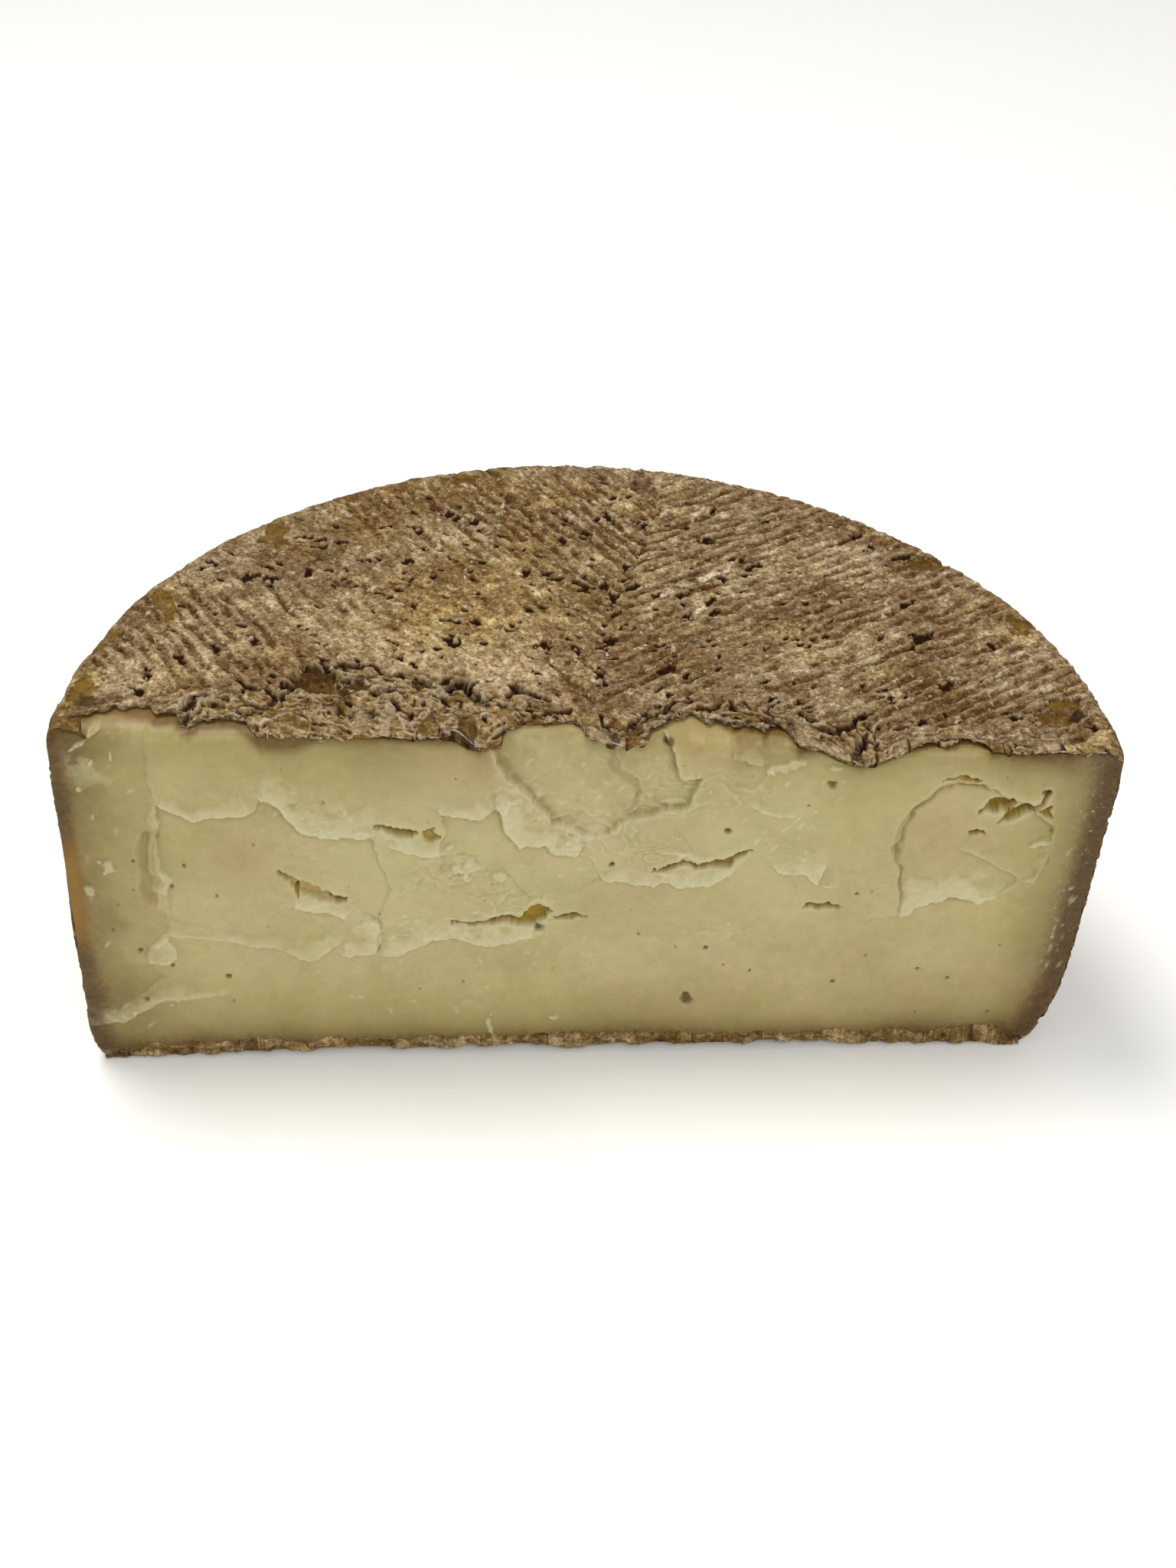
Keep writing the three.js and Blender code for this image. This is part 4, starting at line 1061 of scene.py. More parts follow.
def top_pits(x, y):
    chance = np.random.default_rng(8)
    fray = 1.15 * np.abs(rough(x / 2.1, y / 1.8, 81, 3)) - 0.3
    spots = list(PITS)
    for _ in range(SMALL_PITS):
        turn = math.pi * chance.random()
        out = 60 * (chance.random() + chance.random())
        at_x = MARK_CENTRE[0] + out * math.cos(turn)
        at_y = MARK_CENTRE[1] + 8 + out * math.sin(turn)
        slope = (45 - 8) * np.sign(at_x) + chance.uniform(-20, 20)
        spots.append((at_x, at_y, 1 + 2.4 * chance.random(), 0.7 + 0.7 * chance.random(), slope))
    dark = np.zeros(x.shape)
    for at_x, at_y, long, wide, slope in spots:
        near = close_to(x, y, at_x, at_y, PIT_REACH)
        eaten = blob(x[near], y[near], at_x, at_y, 1.15 * long, 1.25 * wide, slope, fray[near])
        dark[near] = np.maximum(dark[near], eaten)
    return dark


def top_hollows(x, y):
    fray = 0.42 * rough(x / 3, y / 3, 83, 5) + 0.2 * rough(x / 1.3, y / 1.1, 121, 2)
    deep = np.zeros(x.shape)
    amber = np.zeros(x.shape)
    black = np.zeros(x.shape)
    for at_x, at_y, long, wide, turn, depth, is_amber, is_black in HOLLOWS:
        open_here = blob(x, y, at_x, at_y, long * 1.1, wide * 1.1, turn, fray)
        deep = np.maximum(deep, depth * open_here)
        amber = np.maximum(amber, is_amber * open_here)
        black = np.maximum(black, is_black * open_here)
    fray_x, fray_y = pushed(x, y, 1.5, 3.6, 92, 4)
    cave = ease(inside(fray_x, fray_y, CAVE), -0.6, 1.2)
    # Painted shadow: the back of the cave, under the overhanging crust, is marked black.
    roof_shadow = 1 - ease(inside(fray_x - 2.4, fray_y + 2.8, CAVE), -1, 1.4)
    deep = np.maximum(deep, CAVE_DEEP * cave * (1 + 0.4 * rough(x / 2, y / 2, 109, 3)))
    return deep, np.maximum(amber, cave), np.maximum(black, 0.5 * cave * roof_shadow)


def top_cracks(x, y):
    fray_x, fray_y = pushed(x, y, 1.1, 3.2, 84, 4)
    width = CRACK_WIDE * (1 + 0.9 * unevenness(x / 2.4, y / 2.4, 86))
    dark = np.zeros(x.shape)
    for points in CRACKS:
        gap, _ = to_line(fray_x, fray_y, points)
        dark = np.maximum(dark, ease(np.abs(gap), width + 0.5, width * 0.3))
    return dark


def top_folds(x, y):
    """Height and pale edge of the folds in the torn strip."""
    fray_x, fray_y = pushed(x, y, 1.1, 3.6, 88, 4)
    height = np.zeros(x.shape)
    pale = np.zeros(x.shape)
    for count, (edge, reach, high) in enumerate(FOLDS):
        skin = lip_skin(fray_x, fray_y, edge, reach, reach, 90 + count)
        height = np.maximum(height, high * skin**0.6)
        pale = np.maximum(pale, ease(skin, 0.72, 0.95))
    return height, pale


# The line behind which the crust is sound: x, and distance behind the cut.
STRIP_END = [
    (-122, 1), (-100, 3), (-90, 10), (-73, 15), (-57, 25), (-37, 21), (-20, 16), (-8, 9), (0, 6),
    (14, 11), (40, 13), (50, 10), (62, 9), (66, 3), (80, 2), (122, 3),
]


def torn_strip(x, y):
    """1 on the strip of sunken, broken crust along the cut, 0 on the sound crust behind it."""
    return ease(along_x(STRIP_END, x) - y + 2 * rough(x / 7, y / 7, 87, 3), -1.4, 1.4)


def top_bloom(x, y):
    """White mould: a few streaks, and many faint dashes that follow the grooves."""
    chance = np.random.default_rng(9)
    broken = 0.6 * rough(x / 1.1, y / 1.1, 97, 3)
    white = np.zeros(x.shape)
    for start, end, strength in BLOOM:
        gap, _ = to_line(x, y, [start, end])
        white = np.maximum(white, strength * ease(np.abs(gap) + broken, 0.75, 0.3))
    for _ in range(BLOOM_DASHES):
        at_x, at_y = chance.uniform(-60, 100), chance.uniform(16, 112)
        slope = math.radians(33 if at_x > 0.21 * at_y - 2 else -56)
        half, bright = chance.uniform(0.3, 1.3), chance.uniform(0.3, 0.9)
        near = close_to(x, y, at_x, at_y, MARK_REACH)
        u, v = turned(x[near], y[near], at_x, at_y, slope)
        dash = ease(np.hypot(u / half, v / 0.4) + broken[near], 1.3, 0.4) * bright
        white[near] = np.maximum(white[near], dash)
    return white


print("pits:", len(PITS) + SMALL_PITS, "hollows:", len(HOLLOWS), "cracks:", len(CRACKS))

# %% [markdown]
# The height of the crust adds all of that up. Round the rim there are bare amber notches, at
# uneven distances.

# %% Height and marks of the crust
# Each notch: degrees round the rim, length along it, reach down the wall.
RIM_NOTCHES = [
    (6.5, 9, 8), (24.6, 7, 7), (41.8, 11, 9), (49, 6, 6), (79, 10, 6), (96, 7, 5), (106, 11, 6),
    (122, 8, 7), (134, 10, 8), (147, 6, 6), (163, 12, 9), (173, 13, 10),
]
NOTCH_DEEP = 1.5


def rim_notch(angle, drop):
    """How much of a rim notch is here; drop is the distance below the top."""
    notch = np.zeros(angle.shape)
    fray = 0.4 * rough(angle * 24, drop / 4, 91, 3)
    for degrees, long, reach in RIM_NOTCHES:
        arc = (angle - math.radians(degrees)) * BASE_RADIUS
        gap = np.hypot(2 * arc / long, (drop - 1.5) / (0.6 * reach))
        notch = np.maximum(notch, ease(gap + fray, 1.15, 0.7))
    return notch


def crumble(u, v, along, across, seed):
    """The crumbly relief of dry rind, in mm: creased lumps, short strands and flakes."""
    strands = rough(along / 3.2, across * GROOVE_PITCH / 1.2, seed, 2)
    lumps = rough(u / 2.4, v / 2.0, seed + 20, 4)
    scales, _ = shingles(1.5 * rough(u / 7, v / 5, seed + 40, 4), 0.12)
    return 0.07 * strands + 0.24 * np.clip(lumps, -0.8, 0.8) + 0.36 * scales + 0.12


def crust_height(x, y):
    """Relief of the crust over its plain surface in mm, and its marks."""
    along, across, fan = board_place(x, y)
    groove = board_marks(x, y)
    pit = top_pits(x, y)
    deep, amber, black = top_hollows(x, y)
    crack = top_cracks(x, y)
    fold, fold_edge = top_folds(x, y)
    strip = torn_strip(x, y)
    # The torn flakes are read askew and stirred, so that none of them lines up with the cut.
    u = 0.92 * x - 0.39 * y + 1.6 * rough(x / 9, y / 9, 122, 2)
    v = 0.39 * x + 0.92 * y + 1.6 * rough(x / 9, y / 9, 123, 2)
    lumps = rough(u / 3.6, v / 2.8, 94, 4)
    creases = np.abs(rough(u / 6, v / 4, 99, 4))
    tatters, tatter_edge = shingles(1.5 * rough(u / 13, v / 5.4, 96, 4), 0.07)
    cream = ease(rough(u / 2, v / 1.2, 107, 3), 0.3, 0.7)
    gloom = ease(rough(u / 5, v / 2, 108, 4), 0.72, 0.95)
    veins = ease(np.abs(rough(u / 13, v / 6, 119, 4)), 0.085, 0.02)
    glassy = strip * ease(rough(u / 7, v / 3.4, 120, 3), 0.35, 0.8)
    relief = crumble(x, y, along + 7 * fan, across, 95) * (1 - 0.4 * strip) - 0.25
    relief -= GROOVE_DEPTH * groove * (1 - 0.8 * strip)
    relief += strip * (0.12 * lumps + 0.16 * np.minimum(creases, 0.6) + 1.2 * tatters - 0.1)
    relief += fold - strip * (0.4 * gloom + 0.6 * veins)
    relief = relief * (1 - 0.6 * np.minimum(amber, deep) - 0.4 * glassy)
    relief -= 0.8 * pit + 0.7 * ease(deep, 0.1, 1) * deep + CRACK_DEEP * crack
    # Painted shade: cracks and the gaps between torn flakes are marked to be painted nearly black.
    gaps = np.maximum(0.92 * crack, 0.8 * strip * np.maximum(gloom, veins))
    crumbs = strip * np.maximum(0.6 * tatter_edge**2, 0.6 * cream)
    marks = {
        "groove": groove * (1 - 0.7 * strip) * (1 - amber),
        "pit": np.maximum(np.maximum(pit, black), gaps),
        "bare": np.maximum(amber, 0.85 * glassy),
        "pale": np.maximum(0.85 * fold_edge, crumbs) * (1 - amber),
        "tone": gathered(x, y, TONES) - 0.32 * strip,
        "olive": gathered(x, y, OLIVES) + 1.0 * strip,
        "bloom": top_bloom(x, y) * (1 - pit),
        "board": np.stack([along, across * GROOVE_PITCH, fan], axis=1) * MM,
    }
    return relief, marks


print("crust relief at the axis:", crust_height(np.array([0.0]), np.array([40.0]))[0])

# %% [markdown]
# A half disc has no square grid of its own, so the grid is bent onto it with the elliptical
# map between a square and a disc, which keeps the cut edge straight and the cells even.
# Below its front edge the grid goes on down over the cut face as the crust's hanging lip. The
# relief is read at the distance along the surface, so the pattern runs over the edge unbroken.
#
# The crust comes in four parts, two in front with small cells and two behind. Neighbours share
# the places of their common edge, so no gap opens between them.

# %% Shape of the crust
CRUST_CENTRE_X = -0.3
CRUST_RADIUS = 119.6
LIP_SHARE = 0.05
CRUST_SPLIT = 0.03
CRUST_SPLIT_BACK = 0.36
CRUST_COLUMNS = 420
CRUST_ROWS = 220
RIM_WIDE = 3.4
# The hidden rim: first in under the surface, at least this far behind the cut, then down.
CRUST_BEHIND = 9
CRUST_UNDER = 0.4
CRUST_BOTTOM = 84.0


def half_disc(across, back, radius):
    x = radius * across * np.sqrt(1 - back**2 / 2)
    y = radius * back * np.sqrt(1 - across**2 / 2)
    return x, y


def crust_shape(left, right, near, far):
    def shape(along, deep):
        across = blend(left, right, along)
        up = blend(near, far, deep)
        back = np.clip((up - LIP_SHARE) / (1 - LIP_SHARE), 0, 1)
        hang = np.clip(1 - up / LIP_SHARE, 0, 1)
        x, y = half_disc(across, back, CRUST_RADIUS)
        out = np.hypot(x, y) / CRUST_RADIUS
        worn_in = rim_wobble(np.arctan2(y, x)) / CRUST_RADIUS * ease(out, 0.9, 1)
        x = x * (1 - worn_in) + CRUST_CENTRE_X
        y = y * (1 - worn_in)
        front, low = crust_front(x)
        y = y + front * ease(y, 22, 0)
        z_top = top_surface(x, y) - front_sag(x, y)
        low = np.minimum(low, z_top - 0.5)
        relief, marks = crust_height(x, y - hang * (z_top - low))
        torn_edge = ease(unevenness(x / 3, 0 * x, 98) + 0.3 * is_bare(x), -0.2, 0.4)
        frill = ease(hang, 0.4, 0.8) * torn_edge
        marks["pale"] = np.maximum(marks["pale"], 0.6 * frill)
        marks["bare"] = marks["bare"] * (1 - 0.7 * frill)
        radius = np.hypot(x - wall_centre(HEIGHT), y)
        edge = np.clip((radius - (BASE_RADIUS - RIM_WIDE)) / RIM_WIDE, 0, 1.2)
        on_top = ease(hang, 0.35, 0)
        z = blend(z_top, low, hang**0.8) + on_top * relief - 1.5 * edge**2
        over = 0.4 * np.sin(math.pi * hang**0.7) + 0.8 * np.clip(relief, -0.9, 0.7)
        y = y - (1 - on_top) * over + 1.4 * ease(hang, 0.86, 1)
        return np.stack([x, y, z], axis=1), relief, marks

    return shape


def crust_tuck_in(was):
    x, y, z = was.T
    return np.stack([x, np.maximum(y, CRUST_BEHIND), z - CRUST_UNDER], axis=1)


def crust_tuck_down(was):
    x, y, _ = was.T
    return np.stack([x, y, np.full(len(was), CRUST_BOTTOM)], axis=1)


crust = []
for name, left, right, near, far in (
    ("crust_front_left", -1, CRUST_SPLIT, 0, CRUST_SPLIT_BACK),
    ("crust_front_right", CRUST_SPLIT, 1, 0, CRUST_SPLIT_BACK),
    ("crust_back_left", -1, CRUST_SPLIT, CRUST_SPLIT_BACK, 1),
    ("crust_back_right", CRUST_SPLIT, 1, CRUST_SPLIT_BACK, 1),
):
    shape = crust_shape(left, right, near, far)
    tucks = [crust_tuck_in, crust_tuck_down]
    crust.append(grid_piece(name, CRUST_COLUMNS, CRUST_ROWS, shape, tucks))

# %% [markdown]
# ## The wall
#
# The wall is the same crust, turned round the side. Its grid runs round the arc and past both
# ends onto the cut face for about half a millimetre, so the rind's own thickness shows there as
# a thin ragged skin. Its top row bends in under the crust. Near the left end of the cut the
# rind is rubbed off and the amber under-skin shows.

# %% Shape of the wall
WALL_COLUMNS = 570
WALL_ROWS = 160
WALL_SKIN = 0.6
WALL_FOOT = 0.4
WALL_CURL = 5.0
# The hidden back: how far behind the cut, and from where to where along x and z.
WALL_BACK = 8.0
WALL_BACK_X = (-108, 100)
WALL_BACK_Z = (6, 84)


def wall_shape(along, up):
    half_turn = math.pi * BASE_RADIUS
    arc = blend(-WALL_SKIN, half_turn + WALL_SKIN, along)
    skin = np.clip(np.maximum(-arc, arc - half_turn), 0, None)
    angle = np.clip(arc / BASE_RADIUS, 0, math.pi)
    side = np.cos(angle)
    top = top_plane(BASE_RADIUS * side)
    climb = blend(WALL_FOOT, top + WALL_CURL, up)
    z = np.minimum(climb, top)
    curl = np.clip(climb - top, 0, None)
    rubbed = ease(half_turn - arc, 16, 4) * ease(z, 34, 48) * ease(z, 80, 66)
    relief = crumble(arc, climb, arc, climb / GROOVE_PITCH, 101) * (1 - 0.6 * rubbed)
    notch = rim_notch(angle, top - climb)
    pit = ease(rough(arc / 3.1, climb / 2.6, 102, 4), 0.88, 1.1) * (1 - rubbed)
    scuff = unevenness(arc / 26, climb / 18, 103)
    bump = 0.4 * unevenness(5 * side + z / 22, 5 * np.sin(angle), SEED) * ease(top - z, 4, 12)
    inwards = bump + 0.15 - 0.6 * relief + 0.7 * pit + 0.8 * NOTCH_DEEP * notch + curl
    inwards = inwards + rim_wobble(angle) * ease(top - z, 16, 2)
    radius = wall_radius(np.minimum(z, top - 0.02), side) - inwards
    x = wall_centre(z) + radius * side
    y = radius * np.sin(angle)
    ragged = 1 + 0.5 * rough(climb / 3, arc * 0, 104, 3)
    x = x - np.sign(side) * skin * ragged
    y = y - 0.2 * (skin > 0) - 0.2 * relief * (skin > 0) + 1.0 * ease(skin, 0.35, 0.6)
    z = z - 0.3 * curl - 1.0 * ease(top - z, 3.2, 0.4)
    amber = rubbed * ease(unevenness(arc / 5, climb / 5, 105), -1, 0)
    corner = ease(half_turn - arc, 14, 8) * ease(top - z + 0.2 * curl, 9, 2)
    amber = np.maximum(amber, 0.9 * corner)
    dust = ease(unevenness(arc / 1.5, climb / 1.5, 106), 0.5, 0.8)
    marks = {
        "pit": np.maximum(pit, 0.45 * (skin > 0) * ease(side, -0.9, 0.9)),
        "bare": np.maximum(notch, amber),
        "tone": 0.35 * scuff - 0.8 * ease(side, 0.9, 1) - 0.5 * (skin > 0),
        "pale": 0.5 * ease(np.abs(side), 0.97, 1) * dust,
        "olive": 0.1 + 0.25 * scuff,
        "board": np.stack([arc, climb, 0 * arc], axis=1) * MM,
    }
    return np.stack([x, y, z], axis=1), relief - 1.1 * pit, marks


def wall_tuck(was):
    x, _, z = was.T
    back = np.full(len(was), WALL_BACK)
    return np.stack([np.clip(x, *WALL_BACK_X), back, np.clip(z, *WALL_BACK_Z)], axis=1)


wall = grid_piece("wall", WALL_COLUMNS, WALL_ROWS, wall_shape, [wall_tuck])

# %% [markdown]
# ## The base
#
# The underside stood on the same kind of board. Its fans of grooves end along the cut as a row
# of small lumps with painted shade in the gaps between them, and a ragged brown band a few
# millimetres high runs up the face. The cheese sagged least at its ends, so the edge of the base
# arches up a little between them. The grid is the crust's half disc again, turned over.

# %% Shape of the base
BASE_COLUMNS = 480
BASE_ROWS = 180
BASE_WRAP_SHARE = 0.085
BASE_EDGE = [
    (-124, 0.2), (-112, 0.3), (-110, 1), (-106, 0.7), (-101, 0.4), (-98, 1.3), (-90, 1.1),
    (-80, 1.7), (-70, 1.8), (-62, 2.5), (-50, 2.3), (-47, 1.7), (-40, 2.1), (-34, 1.7), (-31, 2.6),
    (-20, 2.6), (-10, 2.3), (-6, 1.3), (0, 1.8), (8, 2.2), (20, 2.1), (22, 1.7), (38, 2.1),
    (41, 2.7), (50, 2.5), (60, 2), (70, 1.3), (85, 0.9), (105, 0.2), (120, 0.2),
]
BAND_TOP = 6.0
# The board's mark is larger here than on top, and its middle lies in front of the cut.
BOARD_SHARE = 0.8
BOARD_SHIFT = 20
# The hidden rim: at least this far behind the cut, and this high.
BASE_BEHIND = 6
BASE_TOP = 7.0


def base_shape(along, up):
    across = blend(-1, 1, along)
    back = np.clip((up - BASE_WRAP_SHARE) / (1 - BASE_WRAP_SHARE), 0, 1)
    rise = np.clip(1 - up / BASE_WRAP_SHARE, 0, 1)
    x, y = half_disc(across, back, 1.0)
    side = x / np.maximum(np.hypot(x, y), 0.2)
    radius = wall_radius(0.5, np.clip(side, -1, 1)) + 0.8
    x = wall_centre(0) + x * radius
    y = y * radius
    unrolled = y - 5 * rise
    board_x, board_y = BOARD_SHARE * x, BOARD_SHARE * y + BOARD_SHIFT
    along_board, across_board, fan = board_place(board_x, board_y)
    relief = crumble(x, unrolled, along_board + 7 * fan, across_board, 111)
    groove = board_marks(board_x, board_y)
    lumps = rough(x / 3.4, unrolled / 4.4, 112, 4)
    front = ease(y, 9, 0)
    z = 0.35 - 0.4 * relief + 0.8 * groove * (1 - front)
    z = np.clip(z, 0, None) + front * (along_x(BASE_EDGE, x) - 0.25 * lumps)
    height = BAND_TOP + 1.5 * rough(x / 5, 0 * x, 114, 4) - along_x(BASE_EDGE, x)
    z = z + rise * height * ease(np.abs(x + 5), 112, 104)
    on_face = (rise > 0) * 1.0
    y = y - on_face * (0.15 + 0.3 * relief + 0.5 * ease(lumps, -0.4, 0.5)) + 1.4 * ease(rise, 0.7, 1)
    crumbs = ease(lumps + 0.4 * unevenness(x / 11, 0 * x, 113), 0.0, 0.4) * ease(rise, 1, 0.75)
    crumbs = crumbs * ease(x, 106, 84)
    marks = {
        "groove": 0.6 * groove * (1 - on_face),
        # Painted shade in the gaps between the lumps along the cut.
        "pit": 0.5 * ease(-lumps, 0.6, 1.0) * front * ease(rise, 0.96, 0.7),
        "bare": 0.66 * on_face * (1 - crumbs),
        "tone": on_face * (0.1 * crumbs + 0.1) + 0.4 * unevenness(x / 25, y / 25, 117) * (1 - on_face),
        "olive": 0.7 * on_face,
        "pale": on_face * crumbs * ease(rough(x / 1.4, unrolled / 1.4, 118, 2), -0.1, 0.5) * 0.3,
        "board": np.stack([along_board, across_board * GROOVE_PITCH, fan], axis=1) * MM,
    }
    return np.stack([x, y, z], axis=1), relief + 0.3 * lumps * on_face, marks


def base_tuck(was):
    x, y, _ = was.T
    return np.stack([x, np.maximum(y, BASE_BEHIND), np.full(len(was), BASE_TOP)], axis=1)


base = grid_piece("base", BASE_COLUMNS, BASE_ROWS, base_shape, [base_tuck])

# %% [markdown]
# ## Finishes
#
# Materials are node trees. A small helper keeps them short: it adds a node, sets its plain
# values and links its inputs. Colours are given as linear red, green and blue.


# %% Helpers for node trees
def add(tree, kind, links=None, **values):
    node = tree.nodes.new(kind)
    for name, value in values.items():
        setattr(node, name, value)
    for socket, source in (links or {}).items():
        target = node.inputs[socket]
        if isinstance(source, bpy.types.NodeSocket):
            tree.links.new(source, target)
        else:
            target.default_value = source
    return node


def mark(tree, name):
    return add(tree, "ShaderNodeAttribute", attribute_name=name).outputs["Fac"]


def noise(tree, coords, size_mm, detail=3.0, roughness=0.55, distortion=0.0):
    links = {
        "Vector": coords,
        "Scale": 1 / (size_mm * MM),
        "Detail": detail,
        "Roughness": roughness,
        "Distortion": distortion,
    }
    return add(tree, "ShaderNodeTexNoise", links).outputs["Fac"]


def ramp(tree, source, stops):
    """Maps a value through (place, value or colour) stops."""
    node = add(tree, "ShaderNodeValToRGB", {"Fac": source})
    bar = node.color_ramp.elements
    while len(bar) < len(stops):
        bar.new(0.5)
    for element, (place, colour) in zip(bar, stops):
        element.position = place
        element.color = (*colour, 1) if isinstance(colour, tuple) else (colour, colour, colour, 1)
    return node.outputs["Color"]


def mix(tree, share, low, high, mode="MIX"):
    node = add(tree, "ShaderNodeMix", data_type="RGBA", blend_type=mode)
    for place, source in ((0, share), (6, low), (7, high)):
        if isinstance(source, bpy.types.NodeSocket):
            tree.links.new(source, node.inputs[place])
        elif isinstance(source, tuple):
            node.inputs[place].default_value = (*source, 1)
        else:
            node.inputs[place].default_value = source
    return node.outputs[2]


def glaze(tree, colour, source, stops, tint):
    """Lays a tint over a colour, as strongly as the stops say for the source."""
    return mix(tree, ramp(tree, source, stops), colour, tint)


def maths(tree, operation, first, second=0.0, third=0.0):
    return add(tree, "ShaderNodeMath", {0: first, 1: second, 2: third}, operation=operation).outputs[0]


def new_material(name):
    material = bpy.data.materials.new(name)
    material.use_nodes = True
    tree = material.node_tree
    shader = tree.nodes["Principled BSDF"]
    coords = add(tree, "ShaderNodeTexCoord").outputs["Object"]
    return material, tree, shader, coords


def plug_in(tree, shader, colour, roughness, specular):
    tree.links.new(colour, shader.inputs["Base Color"])
    tree.links.new(roughness, shader.inputs["Roughness"])
    shader.inputs["Specular IOR Level"].default_value = specular


def plug_in_bump(tree, shader, height, strength, deep_mm):
    links = {"Height": height, "Strength": strength, "Distance": deep_mm * MM}
    bump = add(tree, "ShaderNodeBump", links).outputs["Normal"]
    tree.links.new(bump, shader.inputs["Normal"])


print("helpers ready")

# %% [markdown]
# ### Two shared effects
#
# Paste and rind are both mottled, and both have marks that break up into crumbs. Each effect is
# a node group with its own inputs, built once and placed in both materials. "mottle" makes a
# colour lighter and darker in specks of one size. "crumbled mark" multiplies a mark by a speckle
# that runs between a least and a most share.


# %% Node groups
def new_group(name, inputs, outputs):
    group = bpy.data.node_groups.new(name, "ShaderNodeTree")
    for direction, sockets in (("INPUT", inputs), ("OUTPUT", outputs)):
        for socket, kind in sockets:
            group.interface.new_socket(name=socket, in_out=direction, socket_type="NodeSocket" + kind)
    return group, group.nodes.new("NodeGroupInput"), group.nodes.new("NodeGroupOutput")


def speckle(group, ends):
    """The noise that both groups are made from."""
    links = {"Vector": ends.outputs["Coordinates"], "Scale": ends.outputs["Scale"]}
    links.update({"Detail": 5.0, "Roughness": 0.7})
    return add(group, "ShaderNodeTexNoise", links).outputs["Fac"]


def mottle_group():
    sockets = [("Colour", "Color"), ("Coordinates", "Vector")]
    sockets += [("Scale", "Float"), ("Strength", "Float")]
    group, start, end = new_group("mottle", sockets, [("Colour", "Color")])
    swing = maths(group, "SUBTRACT", speckle(group, start), 0.5)
    swing = maths(group, "MULTIPLY", swing, start.outputs["Strength"])
    swing = maths(group, "MAXIMUM", maths(group, "MULTIPLY_ADD", swing, 5.0, 1.0), 0.15)
    colour = mix(group, 1.0, start.outputs["Colour"], swing, "MULTIPLY")
    group.links.new(colour, end.inputs["Colour"])
    return group


def crumbled_mark_group():
    sockets = [("Mark", "Float"), ("Coordinates", "Vector"), ("Scale", "Float")]
    sockets += [("Least", "Float"), ("Most", "Float")]
    group, start, end = new_group("crumbled mark", sockets, [("Mask", "Float")])
    links = {"Value": speckle(group, start), "From Min": 0.35, "From Max": 0.6}
    links.update({"To Min": start.outputs["Least"], "To Max": start.outputs["Most"]})
    share = add(group, "ShaderNodeMapRange", links).outputs["Result"]
    mask = maths(group, "MULTIPLY", start.outputs["Mark"], share)
    group.links.new(mask, end.inputs["Mask"])
    return group


MOTTLE = mottle_group()
CRUMBLED_MARK = crumbled_mark_group()


def mottled(tree, colour, coords, size_mm, strength):
    links = {"Colour": colour, "Coordinates": coords, "Scale": 1 / (size_mm * MM), "Strength": strength}
    return add(tree, "ShaderNodeGroup", links, node_tree=MOTTLE).outputs["Colour"]


def crumbled(tree, name, coords, size_mm, least, most):
    links = {"Mark": mark(tree, name), "Coordinates": coords, "Scale": 1 / (size_mm * MM)}
    links.update({"Least": least, "Most": most})
    return add(tree, "ShaderNodeGroup", links, node_tree=CRUMBLED_MARK).outputs["Mask"]


print("groups:", [group.name for group in (MOTTLE, CRUMBLED_MARK)])

# %% [markdown]
# ### Paste
#
# Waxy and slightly translucent: straw in the middle, browner and deeper towards the rind and
# darker under the crust's edge as painted shade (the mark "ripe_and_shade"), and chalky cream
# where it tore ("torn"), because a torn surface scatters more light. Slots let us see the ochre
# inside, with painted shade under their roofs. Dents carry painted shade, crests and raised
# edges a painted highlight, and a faint pale patch on the left ledge a painted reflection.

# %% Paste material
PASTE_STRAW = (0.435, 0.38, 0.172)
PASTE_BEIGE = (0.445, 0.37, 0.182)
PASTE_OLIVE = (0.4, 0.352, 0.15)
# Multipliers for ripening towards the rind, and for the painted shade under the crust's edge.
RIPE_AND_SHADE_STOPS = [
    (0.0, (1.0, 1.0, 1.0)),
    (0.24, (0.86, 0.82, 0.73)),
    (0.5, (0.72, 0.68, 0.56)),
    (0.76, (0.46, 0.38, 0.25)),
    (0.9, (0.3, 0.2, 0.09)),
    (1.0, (0.19, 0.12, 0.05)),
]
TORN_CREAM = (0.58, 0.54, 0.34)
SLOT_OCHRE = (0.32, 0.2, 0.014)
SLOT_SHADE = (0.19, 0.105, 0.002)
AMBER_PASTE = (0.235, 0.122, 0.014)
SPECK_BROWN = (0.11, 0.07, 0.02)
# Olive for the painted shade in the dents of the face, and for its fine dark freckles.
FRECKLE_AND_SHADE_OLIVE = (0.27, 0.215, 0.07)


